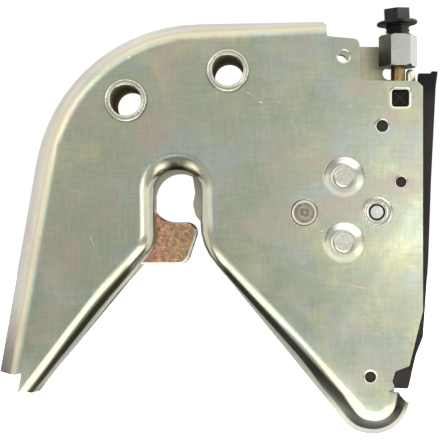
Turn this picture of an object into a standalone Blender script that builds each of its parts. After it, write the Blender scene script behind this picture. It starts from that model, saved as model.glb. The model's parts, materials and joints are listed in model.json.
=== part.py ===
"""Cab lock for the tilting cab of a truck: a pressed steel case, a hook and its hydraulic release.

The origin lies on the mounting face, midway between the two mounting sleeves. X runs to the right of
the front view, +Y from the front plate to the mounting face, and Z up. Lengths are in metres.
"""
from math import acos, atan2, ceil, cos, hypot, pi, radians, sin, tan

import bmesh
import bpy
from mathutils import Vector

# Case: a drawn front tray closed by a flat rear plate
CASE_DEPTH = 0.0340
FRONT_SHEET = 0.0025
REAR_SHEET = 0.0040
BEND_RADIUS = 0.0066
REAR_INSET = 0.0008

# Clearances: pieces that seat on each other, and pieces that turn or slide in each other
SEAT = 0.0003
RUN = 0.0001

# Two sleeves take the bolts of the cab frame
SLEEVE_SPAN = 0.0500
SLEEVE_RISE = 0.0146
SLEEVE_OUTER = 0.0093
SLEEVE_BORE = 0.0075
SLEEVE_HEAD = 0.0104
SLEEVE_HEAD_THICK = 0.0012

# Slot that takes the cab's striker pin
SLOT_CENTRE_Z = -0.0542
SLOT_BEND = 0.0190
SLOT_BEND_TOP = -0.0320
SLOT_REAR = 0.0126

# Hook, turning on the right sleeve
HOOK_THICK = 0.0120
HOOK_BEHIND_MIDDLE = 0.0002
HOOK_CHAMFER = 0.0010
HUB_RADIUS = 0.0180
HUB_BUSH_WALL = 0.0026
SPACER_WALL = 0.0026
HOOK_SPRING_WIRE = 0.0010
HOOK_SPRING_COIL = 0.0140
HOOK_SPRING_TURNS = 2.25
HOOK_SPRING_EYE = 0.0016

# Transfer lever, turning on the lever rivet and pushing the hook's tail
TRANSFER_AXIS = (0.0625, -0.0623)
TRANSFER_THICK = 0.0050
TRANSFER_BEFORE_HOOK = 0.0012
TRANSFER_HUB = 0.0095
NOSE_OFFSET = (-0.0025, 0.0353)
NOSE_RADIUS = 0.0050
NOSE_ARM_HALF = 0.0038
FORK_REACH = 0.0230
FORK_FLOOR = 0.0142
FORK_HALF = 0.0053
LEVER_RIVET_SHANK = 0.0040
LEVER_RIVET_HEAD = 0.0052
LEVER_RIVET_PROUD = 0.0009
LEVER_SPACER_WALL = 0.0024
LEVER_SPRING_WIRE = 0.0008
LEVER_SPRING_COIL = 0.0085
LEVER_SPRING_TURNS = 3.25

# Release lever, fixed on the release shaft
RELEASE_AXIS = (0.0981, -0.0620)
RELEASE_THICK = 0.0050
RELEASE_BEHIND_HOOK = 0.0053
RELEASE_HUB = 0.0080
DRIVE_ARM = 0.0178
DRIVE_ANGLE = radians(10.5)
DRIVE_EYE = 0.0045
DRIVE_PIN = 0.0025
CLIP_OUTER = 0.0042
CLIP_THICK = 0.0010
PAD_ARM = 0.0123
PAD_ANGLE = radians(11.0)
PAD_RADIUS = 0.0040
PAD_ARM_HALF = 0.0029
SHAFT_BODY = 0.0050
SHAFT_JOURNAL = 0.0040
SHAFT_END = 0.0032
SHAFT_BUSH = 0.0064
SHAFT_BUSH_FLANGE = 0.0080
SHAFT_BUSH_LIP = 0.0014
SHAFT_SEAL_DEPTH = 0.0012

# Hydraulic cylinder with its piston, gland and return spring
CYLINDER_BEFORE_MIDDLE = 0.0002
BLOCK_WIDTH = 0.0200
BLOCK_TOP = 0.0010
BLOCK_BOTTOM = -0.0440
BLOCK_EDGE = 0.0020
BORE = 0.0070
BORE_TOP = -0.0085
PASSAGE = 0.0020
PISTON_LENGTH = 0.0080
PISTON_TOP = -0.0120
ROD = 0.0040
ROD_TIP = 0.0022
ROD_TAPER = 0.0018
PISTON_SEAL_DEPTH = 0.0013
PISTON_SEAL_HEIGHT = 0.0024
GLAND_HEIGHT = 0.0060
PISTON_SPRING_WIRE = 0.00065
PISTON_SPRING_COIL = 0.0056
PISTON_SPRING_TURNS = 4
BLEED_BOSS = 0.0024
BLEED_OFFSET = 0.0064
BLEED_HEIGHT = 0.0103

# Inlet on top of the cylinder, closed for transit by a plastic plug
NECK = 0.0036
NECK_DEPTH = 0.0060
NUT_ACROSS_FLATS = 0.0170
NUT_BOTTOM = 0.0113
NUT_HEIGHT = 0.0157
NUT_TURN = radians(4.0)
NUT_CHAMFER = 0.0010
NUT_FLOOR = 0.0042
NUT_BORE = 0.0069
NECK_TOP_GAP = 0.0012
PLUG_THREAD = 0.0061
PLUG_THREAD_LENGTH = 0.0113
PLUG_FLANGE = 0.0103
PLUG_FLANGE_THICK = 0.0017
PLUG_HEAD_ACROSS = 0.0124
PLUG_HEAD_HEIGHT = 0.0062
PLUG_TILT = radians(4.0)
PLUG_RAISE = 0.0056
RIDGE_PITCH = 0.0018
RIDGE_HEIGHT = 0.0005
WASHER_OUTER = 0.0056
WASHER_THICK = 0.0010

# Riveted spacers that hold the case together at the dimples
SPACER_RIVET_X = 0.0820
SPACER_RIVET_Z = (-0.0448, -0.0769)
DIMPLE_OUTER = 0.0093
DIMPLE_INNER = 0.0056
DIMPLE_DEPTH = 0.0020
DIMPLE_SLOPE = ((0.0, 1.0), (0.3, 0.83), (0.62, 0.36), (0.85, 0.08), (1.0, 0.0))
RIVET_HEAD = 0.0052
RIVET_HEAD_THICK = 0.0015
RIVET_SHANK = 0.0035
RIVET_SPACER = 0.0050

# Guide plate beside the slot
GUIDE_THICK = 0.0030
GUIDE_RIVET_X = 0.0190
GUIDE_RIVET_Z = (-0.0455, -0.0640)
GUIDE_RIVET_SHANK = 0.0025
GUIDE_RIVET_HEAD = 0.0042
GUIDE_RIVET_HEAD_THICK = 0.0016

# Plastic side cover
COVER_WALL = 0.0017
COVER_RIM = 0.0024
COVER_PEGS = ((0.1007, -0.0198, 0.0030), (0.1099, -0.0472, 0.0027), (0.0949, -0.1428, 0.0028))
COVER_BLOCK = (0.1096, -0.0061)
COVER_BLOCK_SIDE = 0.0085
COVER_BLOCK_RADIUS = 0.0015
COVER_PEG_SUNK = 0.0010

# Small holes and screws
WIRE_HOLE = (0.0817, 0.0143, 0.0029)
WIRE_HOLE_REAR = (0.0817, 0.0155, 0.0042)
EAR_HOLE = (0.1070, 0.0099, 0.00325)
SCREW_Z = (-0.0110, -0.0340)
SCREW_SHANK = 0.0025
SCREW_HEAD = 0.0045
SCREW_LENGTH = 0.0082
POST_PLACE = (0.0465, 0.0145)
POST_RADIUS = 0.0025
POST_FOOT = 0.0040
POST_FOOT_THICK = 0.0015

# Facets: turns with a large, a middle and a small radius, and the arcs of outlines
WIDE_FACETS = 36
MID_FACETS = 24
SMALL_FACETS = 16
ARC_STEP = radians(12.0)
ARC_SAG = 0.0001
COIL_STEPS = 12
BEND_STEPS = 4

# Planes that several pieces share
FRONT_Y = -CASE_DEPTH
FRONT_BACK_Y = FRONT_Y + FRONT_SHEET
REAR_FRONT_Y = -REAR_SHEET
TRAY_END = CASE_DEPTH - REAR_SHEET - SEAT
MIDDLE_Y = -CASE_DEPTH / 2
HOOK_MIDDLE_Y = MIDDLE_Y + HOOK_BEHIND_MIDDLE
TRANSFER_MIDDLE_Y = HOOK_MIDDLE_Y - TRANSFER_BEFORE_HOOK
RELEASE_MIDDLE_Y = HOOK_MIDDLE_Y + RELEASE_BEHIND_HOOK
CYLINDER_Y = MIDDLE_Y - CYLINDER_BEFORE_MIDDLE
HOOK_FRONT_Y = HOOK_MIDDLE_Y - HOOK_THICK / 2
HOOK_BACK_Y = HOOK_MIDDLE_Y + HOOK_THICK / 2
TRANSFER_FRONT_Y = TRANSFER_MIDDLE_Y - TRANSFER_THICK / 2
TRANSFER_BACK_Y = TRANSFER_MIDDLE_Y + TRANSFER_THICK / 2
RELEASE_FRONT_Y = RELEASE_MIDDLE_Y - RELEASE_THICK / 2
RELEASE_BACK_Y = RELEASE_MIDDLE_Y + RELEASE_THICK / 2
INSIDE_FRONT_Y = FRONT_BACK_Y + SEAT
INSIDE_BACK_Y = REAR_FRONT_Y - SEAT
TAIL_Y = -SEAT
COVER_FRONT_Y = FRONT_BACK_Y + SEAT
BLOCK_FRONT_Y = COVER_FRONT_Y + COVER_WALL + SEAT
SLEEVES = ((-SLEEVE_SPAN / 2, -SLEEVE_RISE / 2), (SLEEVE_SPAN / 2, SLEEVE_RISE / 2))
HOOK_AXIS = SLEEVES[1]
BUSH_BORE = SLEEVE_OUTER + RUN
BUSH_OUTER = BUSH_BORE + HUB_BUSH_WALL
SPACER_OUTER = BUSH_BORE + SPACER_WALL
DRIVE_PLACE = (
    RELEASE_AXIS[0] - DRIVE_ARM * cos(DRIVE_ANGLE),
    RELEASE_AXIS[1] - DRIVE_ARM * sin(DRIVE_ANGLE),
)
PAD_PLACE = (
    RELEASE_AXIS[0] + PAD_ARM * cos(PAD_ANGLE),
    RELEASE_AXIS[1] + PAD_ARM * sin(PAD_ANGLE),
)
CYLINDER_X = PAD_PLACE[0]
BLEED_X = CYLINDER_X + BLEED_OFFSET
ROD_TIP_Z = PAD_PLACE[1] + PAD_RADIUS + SEAT
CUT_OVER = 0.0040

# Sections of the drawn flange: bend angle, depth where the wall ends, lip angle, depth of the edge
RIM_ANGLE_SIDE = radians(69.0)
RIM_ANGLE_CORNER = radians(74.0)
RIM_ANGLE_TOP = radians(77.0)
RIM_END_SKEW = radians(16.0)
RIM_SIDE, RIM_CORNER, RIM_TOP = [
    (angle, CASE_DEPTH / 2, angle, TRAY_END - FRONT_SHEET * cos(angle))
    for angle in (RIM_ANGLE_SIDE, RIM_ANGLE_CORNER, RIM_ANGLE_TOP)
]
FOOT = (radians(60.0), 0.0095, radians(40.0), 0.0125)
MOUTH_RIGHT = (radians(78.0), 0.0072, radians(60.0), 0.0088)
SLOT_WALL = (radians(88.0), 0.0078, radians(88.0), 0.0088)
MOUTH_LEFT = (radians(76.0), 0.0064, radians(50.0), 0.0082)
DIAGONAL_LEFT = (radians(69.0), 0.0066, radians(42.0), 0.0086)
TIP = (radians(66.0), 0.0070, radians(36.0), 0.0100)

# Bend lines of the tray as corners (x, z, radius, section), clockwise in the front view;
# a corner with two sections passes from the first to the second along its arc
RIM_BEND = (
    (-0.0764, -0.1412, 0.0, RIM_SIDE),
    (-0.0600, -0.0470, 0.0, RIM_SIDE),
    (-0.0485, 0.0194, 0.0710, RIM_SIDE, RIM_CORNER),
    (0.0737, 0.0244, 0.0, RIM_TOP),
)
NOTCH_BEND = (
    (0.1036, -0.1500, 0.0, FOOT),
    (0.1016, -0.1600, 0.0052, FOOT),
    (0.0935, -0.1592, 0.0050, FOOT),
    (0.0851, -0.1484, 0.0, FOOT),
    (SLOT_BEND, -0.0761, 0.0220, MOUTH_RIGHT),
    (SLOT_BEND, SLOT_BEND_TOP, SLOT_BEND - 1e-5, SLOT_WALL),
    (-SLOT_BEND, SLOT_BEND_TOP, SLOT_BEND - 1e-5, SLOT_WALL),
    (-SLOT_BEND, -0.0756, 0.0070, MOUTH_LEFT),
    (-0.0400, -0.0994, 0.0, DIAGONAL_LEFT),
    (-0.0780, -0.1468, 0.0, TIP),
)
TRAY_EDGE = (
    (0.0775, 0.0239, 0.0010),
    (0.0895, 0.0229, 0.0030),
    (0.0895, 0.0025, 0.0020),
    (0.1178, 0.0023, 0.0008),
    (0.1206, -0.0004, 0.0008),
    (0.1206, -0.1105, 0.0040),
    (0.1140, -0.1374, 0.0010),
    (0.1071, -0.1401, 0.0015),
    (0.1056, -0.1449, 0.0020),
    (0.1068, -0.1478, 0.0010),
)
REAR_EDGE = (
    (0.0760, 0.0240, 0.0010),
    (0.1130, 0.0235, 0.0030),
    (0.1150, 0.0010, 0.0020),
    (0.1180, -0.0010, 0.0020),
    (0.1180, -0.1090, 0.0040),
    (0.1110, -0.1390, 0.0040),
    (0.1085, -0.1660, 0.0120),
    (0.0890, -0.1675, 0.0120),
    (SLOT_REAR, -0.0815, 0.0200),
    (SLOT_REAR, SLOT_CENTRE_Z + SLOT_REAR, SLOT_REAR - 1e-5),
    (-SLOT_REAR, SLOT_CENTRE_Z + SLOT_REAR, SLOT_REAR - 1e-5),
    (-SLOT_REAR, -0.0800, 0.0060),
    (-0.0690, -0.1480, 0.0020),
    (-0.0800, -0.1440, 0.0020),
)
HOOK_OUTLINE = (
    (0.0125, HOOK_AXIS[1] + HUB_RADIUS, HUB_RADIUS * 0.95),
    (HOOK_AXIS[0] + HUB_RADIUS, HOOK_AXIS[1] + HUB_RADIUS, HUB_RADIUS * 0.97),
    (0.0445, -0.0060, 0.0100),
    (0.0526, -0.0155, 0.0020),
    (0.0555, -0.0325, 0.0030),
    (0.0455, -0.0345, 0.0040),
    (0.0350, -0.0145, 0.0100),
    (0.0130, -0.0375, 0.0060),
    (-0.0140, -0.0402, 0.0138),
    (-0.0134, -0.0667, 0.0122),
    (0.0113, -0.0667, 0.0050),
    (0.0041, -0.0878, 0.0060),
    (-0.0260, -0.0878, 0.0090),
    (-0.0370, -0.0760, 0.0120),
    (-0.0370, -0.0470, 0.0120),
    (-0.0190, -0.0355, 0.0090),
    (-0.0080, -0.0295, 0.0060),
)
GUIDE_OUTLINE = (
    (0.0062, -0.0426, 0.0015),
    (0.0076, -0.0515, 0.0060),
    (0.0064, -0.0572, 0.0040),
    (0.0078, -0.0630, 0.0040),
    (0.0135, -0.0700, 0.0040),
    (0.0260, -0.0700, 0.0040),
    (0.0260, -0.0385, 0.0040),
    (0.0100, -0.0385, 0.0040),
)
COVER_OUTLINE = (
    (0.0965, 0.0012, 0.0010),
    (0.0965, -0.0240, 0.0030),
    (0.1050, -0.0300, 0.0030),
    (0.1050, -0.0520, 0.0030),
    (0.1130, -0.0570, 0.0030),
    (0.1130, -0.1120, 0.0030),
    (0.1060, -0.1350, 0.0030),
    (0.0905, -0.1385, 0.0030),
    (0.0905, -0.1470, 0.0030),
    (0.1040, -0.1485, 0.0015),
    (0.1136, -0.1488, 0.0010),
    (0.1176, -0.1320, 0.0040),
    (0.1210, -0.1233, 0.0040),
    (0.1236, -0.0860, 0.0300),
    (0.1250, -0.0460, 0.0300),
    (0.1273, 0.0, 0.0100),
    (0.1283, 0.0074, 0.0006),
    (0.1252, 0.0074, 0.0004),
    (0.1248, 0.0064, 0.0004),
    (0.1186, 0.0064, 0.0008),
    (0.1182, 0.0012, 0.0008),
)
LUG_OUTLINE = (
    (0.1076, -0.1402, 0.0018),
    (0.1059, -0.1449, 0.0020),
    (0.1072, -0.1483, 0.0014),
    (0.1134, -0.1486, 0.0010),
    (0.1152, -0.1412, 0.0010),
    (0.1138, -0.1380, 0.0010),
)
TRIM_OUTLINE = (
    (0.1068, -0.1470, 0.0),
    (0.1104, -0.1527, 0.0020),
    (0.1140, -0.1566, 0.0),
    (0.1300, -0.1566, 0.0),
    (0.1300, -0.1470, 0.0),
)


# Small helpers for outlines
def arc_corner(before, corner, after, radius):
    """Points of the arc that rounds one corner, each with its direction of travel."""
    way_in = (corner - before).normalized()
    way_out = (after - corner).normalized()
    turn = atan2(way_in.x * way_out.y - way_in.y * way_out.x, way_in.dot(way_out))
    if radius <= 0.0 or abs(turn) < radians(0.5):
        return [(corner.copy(), (way_in + way_out).normalized())]
    back = radius * tan(abs(turn) / 2)
    side = 1.0 if turn > 0 else -1.0
    start = corner - way_in * back
    centre = start + Vector((-way_in.y, way_in.x)) * radius * side
    widest = min(ARC_STEP, 2 * acos(1 - min(ARC_SAG, radius) / radius))
    steps = max(2, ceil(abs(turn) / widest))
    points = []
    for step in range(steps + 1):
        angle = turn * step / steps
        way = Vector((
            way_in.x * cos(angle) - way_in.y * sin(angle),
            way_in.x * sin(angle) + way_in.y * cos(angle),
        ))
        points.append((centre + Vector((way.y, -way.x)) * radius * side, way))
    return points


def rounded(corners, closed=True):
    """An outline of (x, z) points through (x, z, radius) corners."""
    places = [Vector(corner[:2]) for corner in corners]
    count = len(places)
    outline = []
    for index, corner in enumerate(corners):
        if not closed and index in (0, count - 1):
            outline.append(places[index].copy())
            continue
        before = places[index - 1]
        after = places[(index + 1) % count]
        outline += [point for point, way in arc_corner(before, places[index], after, corner[2])]
    return outline


def placed(corners, origin, angle):
    """Corners (x, z, radius) turned by an angle and moved to an origin."""
    c, s = cos(angle), sin(angle)
    return [(origin[0] + x * c - z * s, origin[1] + x * s + z * c, radius) for x, z, radius in corners]


def circle(centre, radius, facets):
    """Points of a circle, with a flat facing each way so that like circles nest evenly."""
    return [
        Vector((centre[0] + radius * cos(2 * pi * i / facets), centre[1] + radius * sin(2 * pi * i / facets)))
        for i in range(facets)
    ]


def box_outline(centre, side, radius):
    """A square outline with rounded corners."""
    half = side / 2
    x, z = centre
    return rounded([
        (x - half, z - half, radius), (x + half, z - half, radius),
        (x + half, z + half, radius), (x - half, z + half, radius),
    ])


# Small helpers for objects
def fresh_collection(name):
    collection = bpy.data.collections.new(name)
    bpy.context.scene.collection.children.link(collection)
    return collection


def finish_material(name, colour, metallic, roughness):
    material = bpy.data.materials.new(name)
    material.use_nodes = True
    shader = material.node_tree.nodes["Principled BSDF"]
    shader.inputs["Base Color"].default_value = (*colour, 1.0)
    shader.inputs["Metallic"].default_value = metallic
    shader.inputs["Roughness"].default_value = roughness
    material.diffuse_color = (*colour, 1.0)
    return material


def add_object(name, data, collection):
    thing = bpy.data.objects.new(name, data)
    collection.objects.link(thing)
    return thing


def shade(mesh):
    mesh.shade_smooth()
    mesh.set_sharp_from_angle(angle=radians(32.0))


def as_mesh(thing, collection):
    """Replace a curve object by a welded mesh object of the same name and place."""
    bpy.context.view_layer.update()
    evaluated = thing.evaluated_get(bpy.context.evaluated_depsgraph_get())
    mesh = bpy.data.meshes.new_from_object(evaluated)
    place = thing.matrix_world.copy()
    name = thing.name
    bpy.data.objects.remove(thing)
    shape = bmesh.new()
    shape.from_mesh(mesh)
    bmesh.ops.remove_doubles(shape, verts=shape.verts, dist=1e-6)
    bmesh.ops.recalc_face_normals(shape, faces=shape.faces)
    shape.to_mesh(mesh)
    shape.free()
    solid = add_object(name, mesh, collection)
    solid.matrix_world = place
    return solid


def slab(name, loops, front, back, collection):
    """A flat piece: a filled outline with holes, from one depth in Y to another."""
    curve = bpy.data.curves.new(name, "CURVE")
    curve.dimensions = "2D"
    curve.fill_mode = "BOTH"
    curve.extrude = (back - front) / 2
    for loop in loops:
        spline = curve.splines.new("POLY")
        spline.points.add(len(loop) - 1)
        for point, place in zip(spline.points, loop):
            point.co = (place[0], place[1], 0.0, 1.0)
        spline.use_cyclic_u = True
    thing = add_object(name, curve, collection)
    thing.rotation_euler = (pi / 2, 0.0, 0.0)
    thing.location = (0.0, (front + back) / 2, 0.0)
    return as_mesh(thing, collection)


def turned(name, profile, place, along, facets, collection, closed=False):
    """A turned piece: a profile of (radius, height) points, outer side first from top to bottom."""
    mesh = bpy.data.meshes.new(name)
    points = [(radius, 0.0, height) for radius, height in profile]
    edges = [(index, index + 1) for index in range(len(points) - 1)]
    if closed:
        edges.append((len(points) - 1, 0))
    mesh.from_pydata(points, edges, [])
    thing = add_object(name, mesh, collection)
    screw = thing.modifiers.new("Turn", "SCREW")
    screw.axis = "Z"
    screw.steps = facets
    screw.render_steps = facets
    screw.use_merge_vertices = True
    screw.merge_threshold = 1e-6
    thing.location = place
    if along == "Y":
        thing.rotation_euler = (-pi / 2, 0.0, 0.0)
    bpy.context.view_layer.update()
    evaluated = thing.evaluated_get(bpy.context.evaluated_depsgraph_get())
    solid_mesh = bpy.data.meshes.new_from_object(evaluated)
    thing.modifiers.clear()
    thing.data = solid_mesh
    shade(solid_mesh)
    return thing


def turned_y(name, centre, profile, facets, collection, closed=False):
    """A turned piece on an axis along Y, whose profile holds (radius, Y) points."""
    return turned(name, profile, (centre[0], 0.0, centre[1]), "Y", facets, collection, closed)


def tube_profile(inner, outer, low, high, chamfer=0.0):
    """Closed profile of a tube, with its outer edges broken by a chamfer."""
    return [
        (outer - chamfer, high), (outer, high - chamfer), (outer, low + chamfer),
        (outer - chamfer, low), (inner, low), (inner, high),
    ] if chamfer else [(outer, high), (outer, low), (inner, low), (inner, high)]


def combine(target, tool, operation):
    """Boolean of a target with a hidden tool that stays in the scene as a guide."""
    tool.hide_render = True
    tool.display_type = "WIRE"
    change = target.modifiers.new(tool.name, "BOOLEAN")
    change.operation = operation
    change.solver = "EXACT"
    change.object = tool


def drill(target, holes, front, back, facets=SMALL_FACETS):
    """Round holes (x, z, radius) along Y through a piece."""
    for number, (x, z, radius) in enumerate(holes):
        loop = circle((x, z), radius, facets)
        tool = slab(f"{target.name}_hole_{number}", [loop], front, back, CUTTERS)
        combine(target, tool, "DIFFERENCE")


def wire(name, points, radius, collection):
    """A round wire through given points, with closed ends."""
    curve = bpy.data.curves.new(name, "CURVE")
    curve.dimensions = "3D"
    curve.bevel_depth = radius
    curve.bevel_resolution = 2
    curve.use_fill_caps = True
    spline = curve.splines.new("POLY")
    spline.points.add(len(points) - 1)
    for point, place in zip(spline.points, points):
        point.co = (*place, 1.0)
    return as_mesh(add_object(name, curve, collection), collection)


# Case
def flange_section(section):
    """Points (outreach, depth) of a flange section, from the bend line to the sheet's edge."""
    bend, wall_depth, lip, edge_depth = section
    points = [
        (BEND_RADIUS * sin(bend * i / BEND_STEPS), BEND_RADIUS * (1 - cos(bend * i / BEND_STEPS)))
        for i in range(BEND_STEPS + 1)
    ]
    out, depth = points[-1]
    out += (wall_depth - depth) / tan(bend)
    points.append((out, wall_depth))
    out += (edge_depth - wall_depth) / tan(lip)
    points.append((out, edge_depth))
    return points


def bend_stations(corners):
    """Places along a bend line, each with its outward direction and its flange section.

    The rim's first end is cut askew, so its outward direction is turned and made longer.
    """
    places = [Vector(corner[:2]) for corner in corners]
    last = len(corners) - 1
    stations = []
    for index, corner in enumerate(corners):
        if index in (0, last):
            way = (places[1] - places[0]) if index == 0 else (places[last] - places[last - 1])
            points = [(places[index].copy(), way.normalized())]
        else:
            points = arc_corner(places[index - 1], places[index], places[index + 1], corner[2])
        for step, (point, way) in enumerate(points):
            share = step / max(len(points) - 1, 1)
            section = [a + (b - a) * share for a, b in zip(corner[3], corner[-1])]
            stations.append((point, Vector((-way.y, way.x)), section))
    if corners is RIM_BEND:
        place, outward, section = stations[0]
        skewed = outward + Vector((outward.y, -outward.x)) * -tan(RIM_END_SKEW)
        stations[0] = (place, skewed, section)
    return stations


def flange_edge(corners, inset):
    """The line of the sheet's edge behind a bend line, moved in by an inset."""
    line = []
    for place, outward, section in bend_stations(corners):
        line.append(place + outward * (flange_section(section)[-1][0] - inset))
    return line


def build_front_plate():
    shape = bmesh.new()
    rim = bend_stations(RIM_BEND)
    notch = bend_stations(NOTCH_BEND)
    right_edge = rounded(
        ((*RIM_BEND[-1][:2], 0.0), *TRAY_EDGE, (*NOTCH_BEND[0][:2], 0.0)), closed=False)[1:-1]

    def vertex(place, depth):
        return shape.verts.new((place.x, FRONT_Y + depth, place.y))

    def flange(stations):
        rows = []
        for place, outward, section in stations:
            rows.append([vertex(place + outward * out, depth) for out, depth in flange_section(section)])
        for first, second in zip(rows, rows[1:]):
            for step in range(len(first) - 1):
                shape.faces.new((first[step], second[step], second[step + 1], first[step + 1]))
        return [row[0] for row in rows]

    border = flange(rim) + [vertex(place, 0.0) for place in right_edge] + flange(notch)
    shape.faces.new(reversed(border))
    mesh = bpy.data.meshes.new("front_plate")
    shape.to_mesh(mesh)
    shape.free()
    plate = add_object("front_plate", mesh, PARTS)
    thick = plate.modifiers.new("Sheet", "SOLIDIFY")
    thick.thickness = FRONT_SHEET
    thick.offset = -1.0
    thick.use_even_offset = True
    trim = slab("front_plate_trim", [rounded(TRIM_OUTLINE)], FRONT_Y - CUT_OVER, 0.0, CUTTERS)
    combine(plate, trim, "DIFFERENCE")
    for number, z in enumerate(SPACER_RIVET_Z):
        centre = (SPACER_RIVET_X, z)
        back = FRONT_BACK_Y + DIMPLE_DEPTH
        wall = DIMPLE_OUTER - DIMPLE_INNER
        cup = turned_y(f"dimple_cup_{number}", centre, [
            (0.0, back), (DIMPLE_INNER + wall / 2, back),
            (DIMPLE_OUTER + wall, FRONT_Y + FRONT_SHEET / 2), (0.0, FRONT_Y + FRONT_SHEET / 2),
        ], MID_FACETS, CUTTERS)
        combine(plate, cup, "UNION")
        recess = turned_y(f"dimple_recess_{number}", centre, [
            (0.0, FRONT_Y + DIMPLE_DEPTH),
            *[(DIMPLE_INNER + wall * out, FRONT_Y + DIMPLE_DEPTH * deep) for out, deep in DIMPLE_SLOPE],
            (DIMPLE_OUTER, FRONT_Y - CUT_OVER), (0.0, FRONT_Y - CUT_OVER),
        ], MID_FACETS, CUTTERS)
        combine(plate, recess, "DIFFERENCE")
    drill(plate, [(x, z, SLEEVE_OUTER + SEAT) for x, z in SLEEVES], FRONT_Y - CUT_OVER,
          FRONT_BACK_Y + CUT_OVER, WIDE_FACETS)
    holes = [(x, z, radius) for x, z, radius in COVER_PEGS]
    holes += [WIRE_HOLE, (*TRANSFER_AXIS, LEVER_RIVET_SHANK + SEAT), (*RELEASE_AXIS, SHAFT_BUSH + SEAT)]
    holes += [(SPACER_RIVET_X, z, RIVET_SHANK + SEAT) for z in SPACER_RIVET_Z]
    drill(plate, holes, FRONT_Y - CUT_OVER, FRONT_BACK_Y + CUT_OVER)
    square = slab("front_plate_square", [box_outline(COVER_BLOCK, COVER_BLOCK_SIDE, COVER_BLOCK_RADIUS)],
                  FRONT_Y - CUT_OVER, FRONT_BACK_Y + CUT_OVER, CUTTERS)
    combine(plate, square, "DIFFERENCE")
    return plate


def build_rear_plate():
    outline = flange_edge(RIM_BEND, REAR_INSET)[:-1] + rounded(REAR_EDGE)
    holes = [circle(place, SLEEVE_OUTER + SEAT, WIDE_FACETS) for place in SLEEVES]
    small = [WIRE_HOLE_REAR, EAR_HOLE, (*TRANSFER_AXIS, LEVER_RIVET_SHANK + SEAT)]
    small += [(*RELEASE_AXIS, SHAFT_JOURNAL + RUN), (*POST_PLACE, POST_RADIUS + SEAT)]
    small += [(SPACER_RIVET_X, z, RIVET_SHANK + SEAT) for z in SPACER_RIVET_Z]
    small += [(GUIDE_RIVET_X, z, GUIDE_RIVET_SHANK + SEAT) for z in GUIDE_RIVET_Z]
    holes += [circle((x, z), radius, SMALL_FACETS) for x, z, radius in small]
    plate = slab("rear_plate", [outline, *holes], REAR_FRONT_Y, 0.0, PARTS)
    for number, z in enumerate(SCREW_Z):
        sink = turned_y(f"screw_sink_{number}", (CYLINDER_X, z), [
            (0.0, CUT_OVER), (SCREW_HEAD + SEAT, CUT_OVER), (SCREW_HEAD + SEAT, TAIL_Y),
            (SCREW_SHANK + SEAT, TAIL_Y - SCREW_HEAD + SCREW_SHANK),
            (SCREW_SHANK + SEAT, REAR_FRONT_Y - CUT_OVER), (0.0, REAR_FRONT_Y - CUT_OVER),
        ], SMALL_FACETS, CUTTERS)
        combine(plate, sink, "DIFFERENCE")
    return plate


def build_sleeves():
    names = ("mounting_sleeve_left", "mounting_sleeve_right")
    head_back = FRONT_Y - SEAT
    head_front = head_back - SLEEVE_HEAD_THICK
    edge = SLEEVE_HEAD_THICK / 3
    return [
        turned_y(name, centre, [
            (SLEEVE_OUTER, 0.0), (SLEEVE_OUTER, head_back), (SLEEVE_HEAD, head_back),
            (SLEEVE_HEAD, head_front + edge), (SLEEVE_HEAD - edge, head_front),
            (SLEEVE_BORE + edge, head_front), (SLEEVE_BORE, head_front + edge), (SLEEVE_BORE, 0.0),
        ], WIDE_FACETS, PARTS, closed=True)
        for name, centre in zip(names, SLEEVES)
    ]


def build_spacer_rivets():
    names = ("spacer_rivet_upper", "spacer_rivet_lower")
    seat = FRONT_Y + DIMPLE_DEPTH - SEAT
    front = seat - RIVET_HEAD_THICK
    shoulder = FRONT_BACK_Y + DIMPLE_DEPTH + SEAT
    return [
        turned_y(name, (SPACER_RIVET_X, z), [
            (0.0, TAIL_Y), (RIVET_SHANK, TAIL_Y), (RIVET_SHANK, INSIDE_BACK_Y),
            (RIVET_SPACER, INSIDE_BACK_Y), (RIVET_SPACER, shoulder), (RIVET_SHANK, shoulder),
            (RIVET_SHANK, seat), (RIVET_HEAD, seat), (RIVET_HEAD, front + RIVET_HEAD_THICK / 2),
            (RIVET_HEAD * 0.8, front), (0.0, front),
        ], SMALL_FACETS + 4, PARTS)
        for name, z in zip(names, SPACER_RIVET_Z)
    ]


def build_lever_rivet():
    seat = FRONT_Y - SEAT
    front = seat - LEVER_RIVET_PROUD
    return turned_y("lever_rivet", TRANSFER_AXIS, [
        (0.0, TAIL_Y), (LEVER_RIVET_SHANK, TAIL_Y), (LEVER_RIVET_SHANK, seat),
        (LEVER_RIVET_HEAD, seat), (LEVER_RIVET_HEAD, front + LEVER_RIVET_PROUD / 2),
        (LEVER_RIVET_HEAD * 0.85, front), (0.0, front),
    ], SMALL_FACETS + 4, PARTS)


def build_guide_plate():
    holes = [circle((GUIDE_RIVET_X, z), GUIDE_RIVET_SHANK + SEAT, SMALL_FACETS) for z in GUIDE_RIVET_Z]
    front = INSIDE_BACK_Y - GUIDE_THICK
    pieces = [slab("pin_guide_plate", [rounded(GUIDE_OUTLINE), *holes], front, INSIDE_BACK_Y, PARTS)]
    seat = front - SEAT
    for name, z in zip(("guide_rivet_upper", "guide_rivet_lower"), GUIDE_RIVET_Z):
        pieces.append(turned_y(name, (GUIDE_RIVET_X, z), [
            (0.0, TAIL_Y), (GUIDE_RIVET_SHANK, TAIL_Y), (GUIDE_RIVET_SHANK, seat),
            (GUIDE_RIVET_HEAD, seat), (GUIDE_RIVET_HEAD * 0.7, seat - GUIDE_RIVET_HEAD_THICK),
            (0.0, seat - GUIDE_RIVET_HEAD_THICK),
        ], SMALL_FACETS, PARTS))
    return pieces


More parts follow.
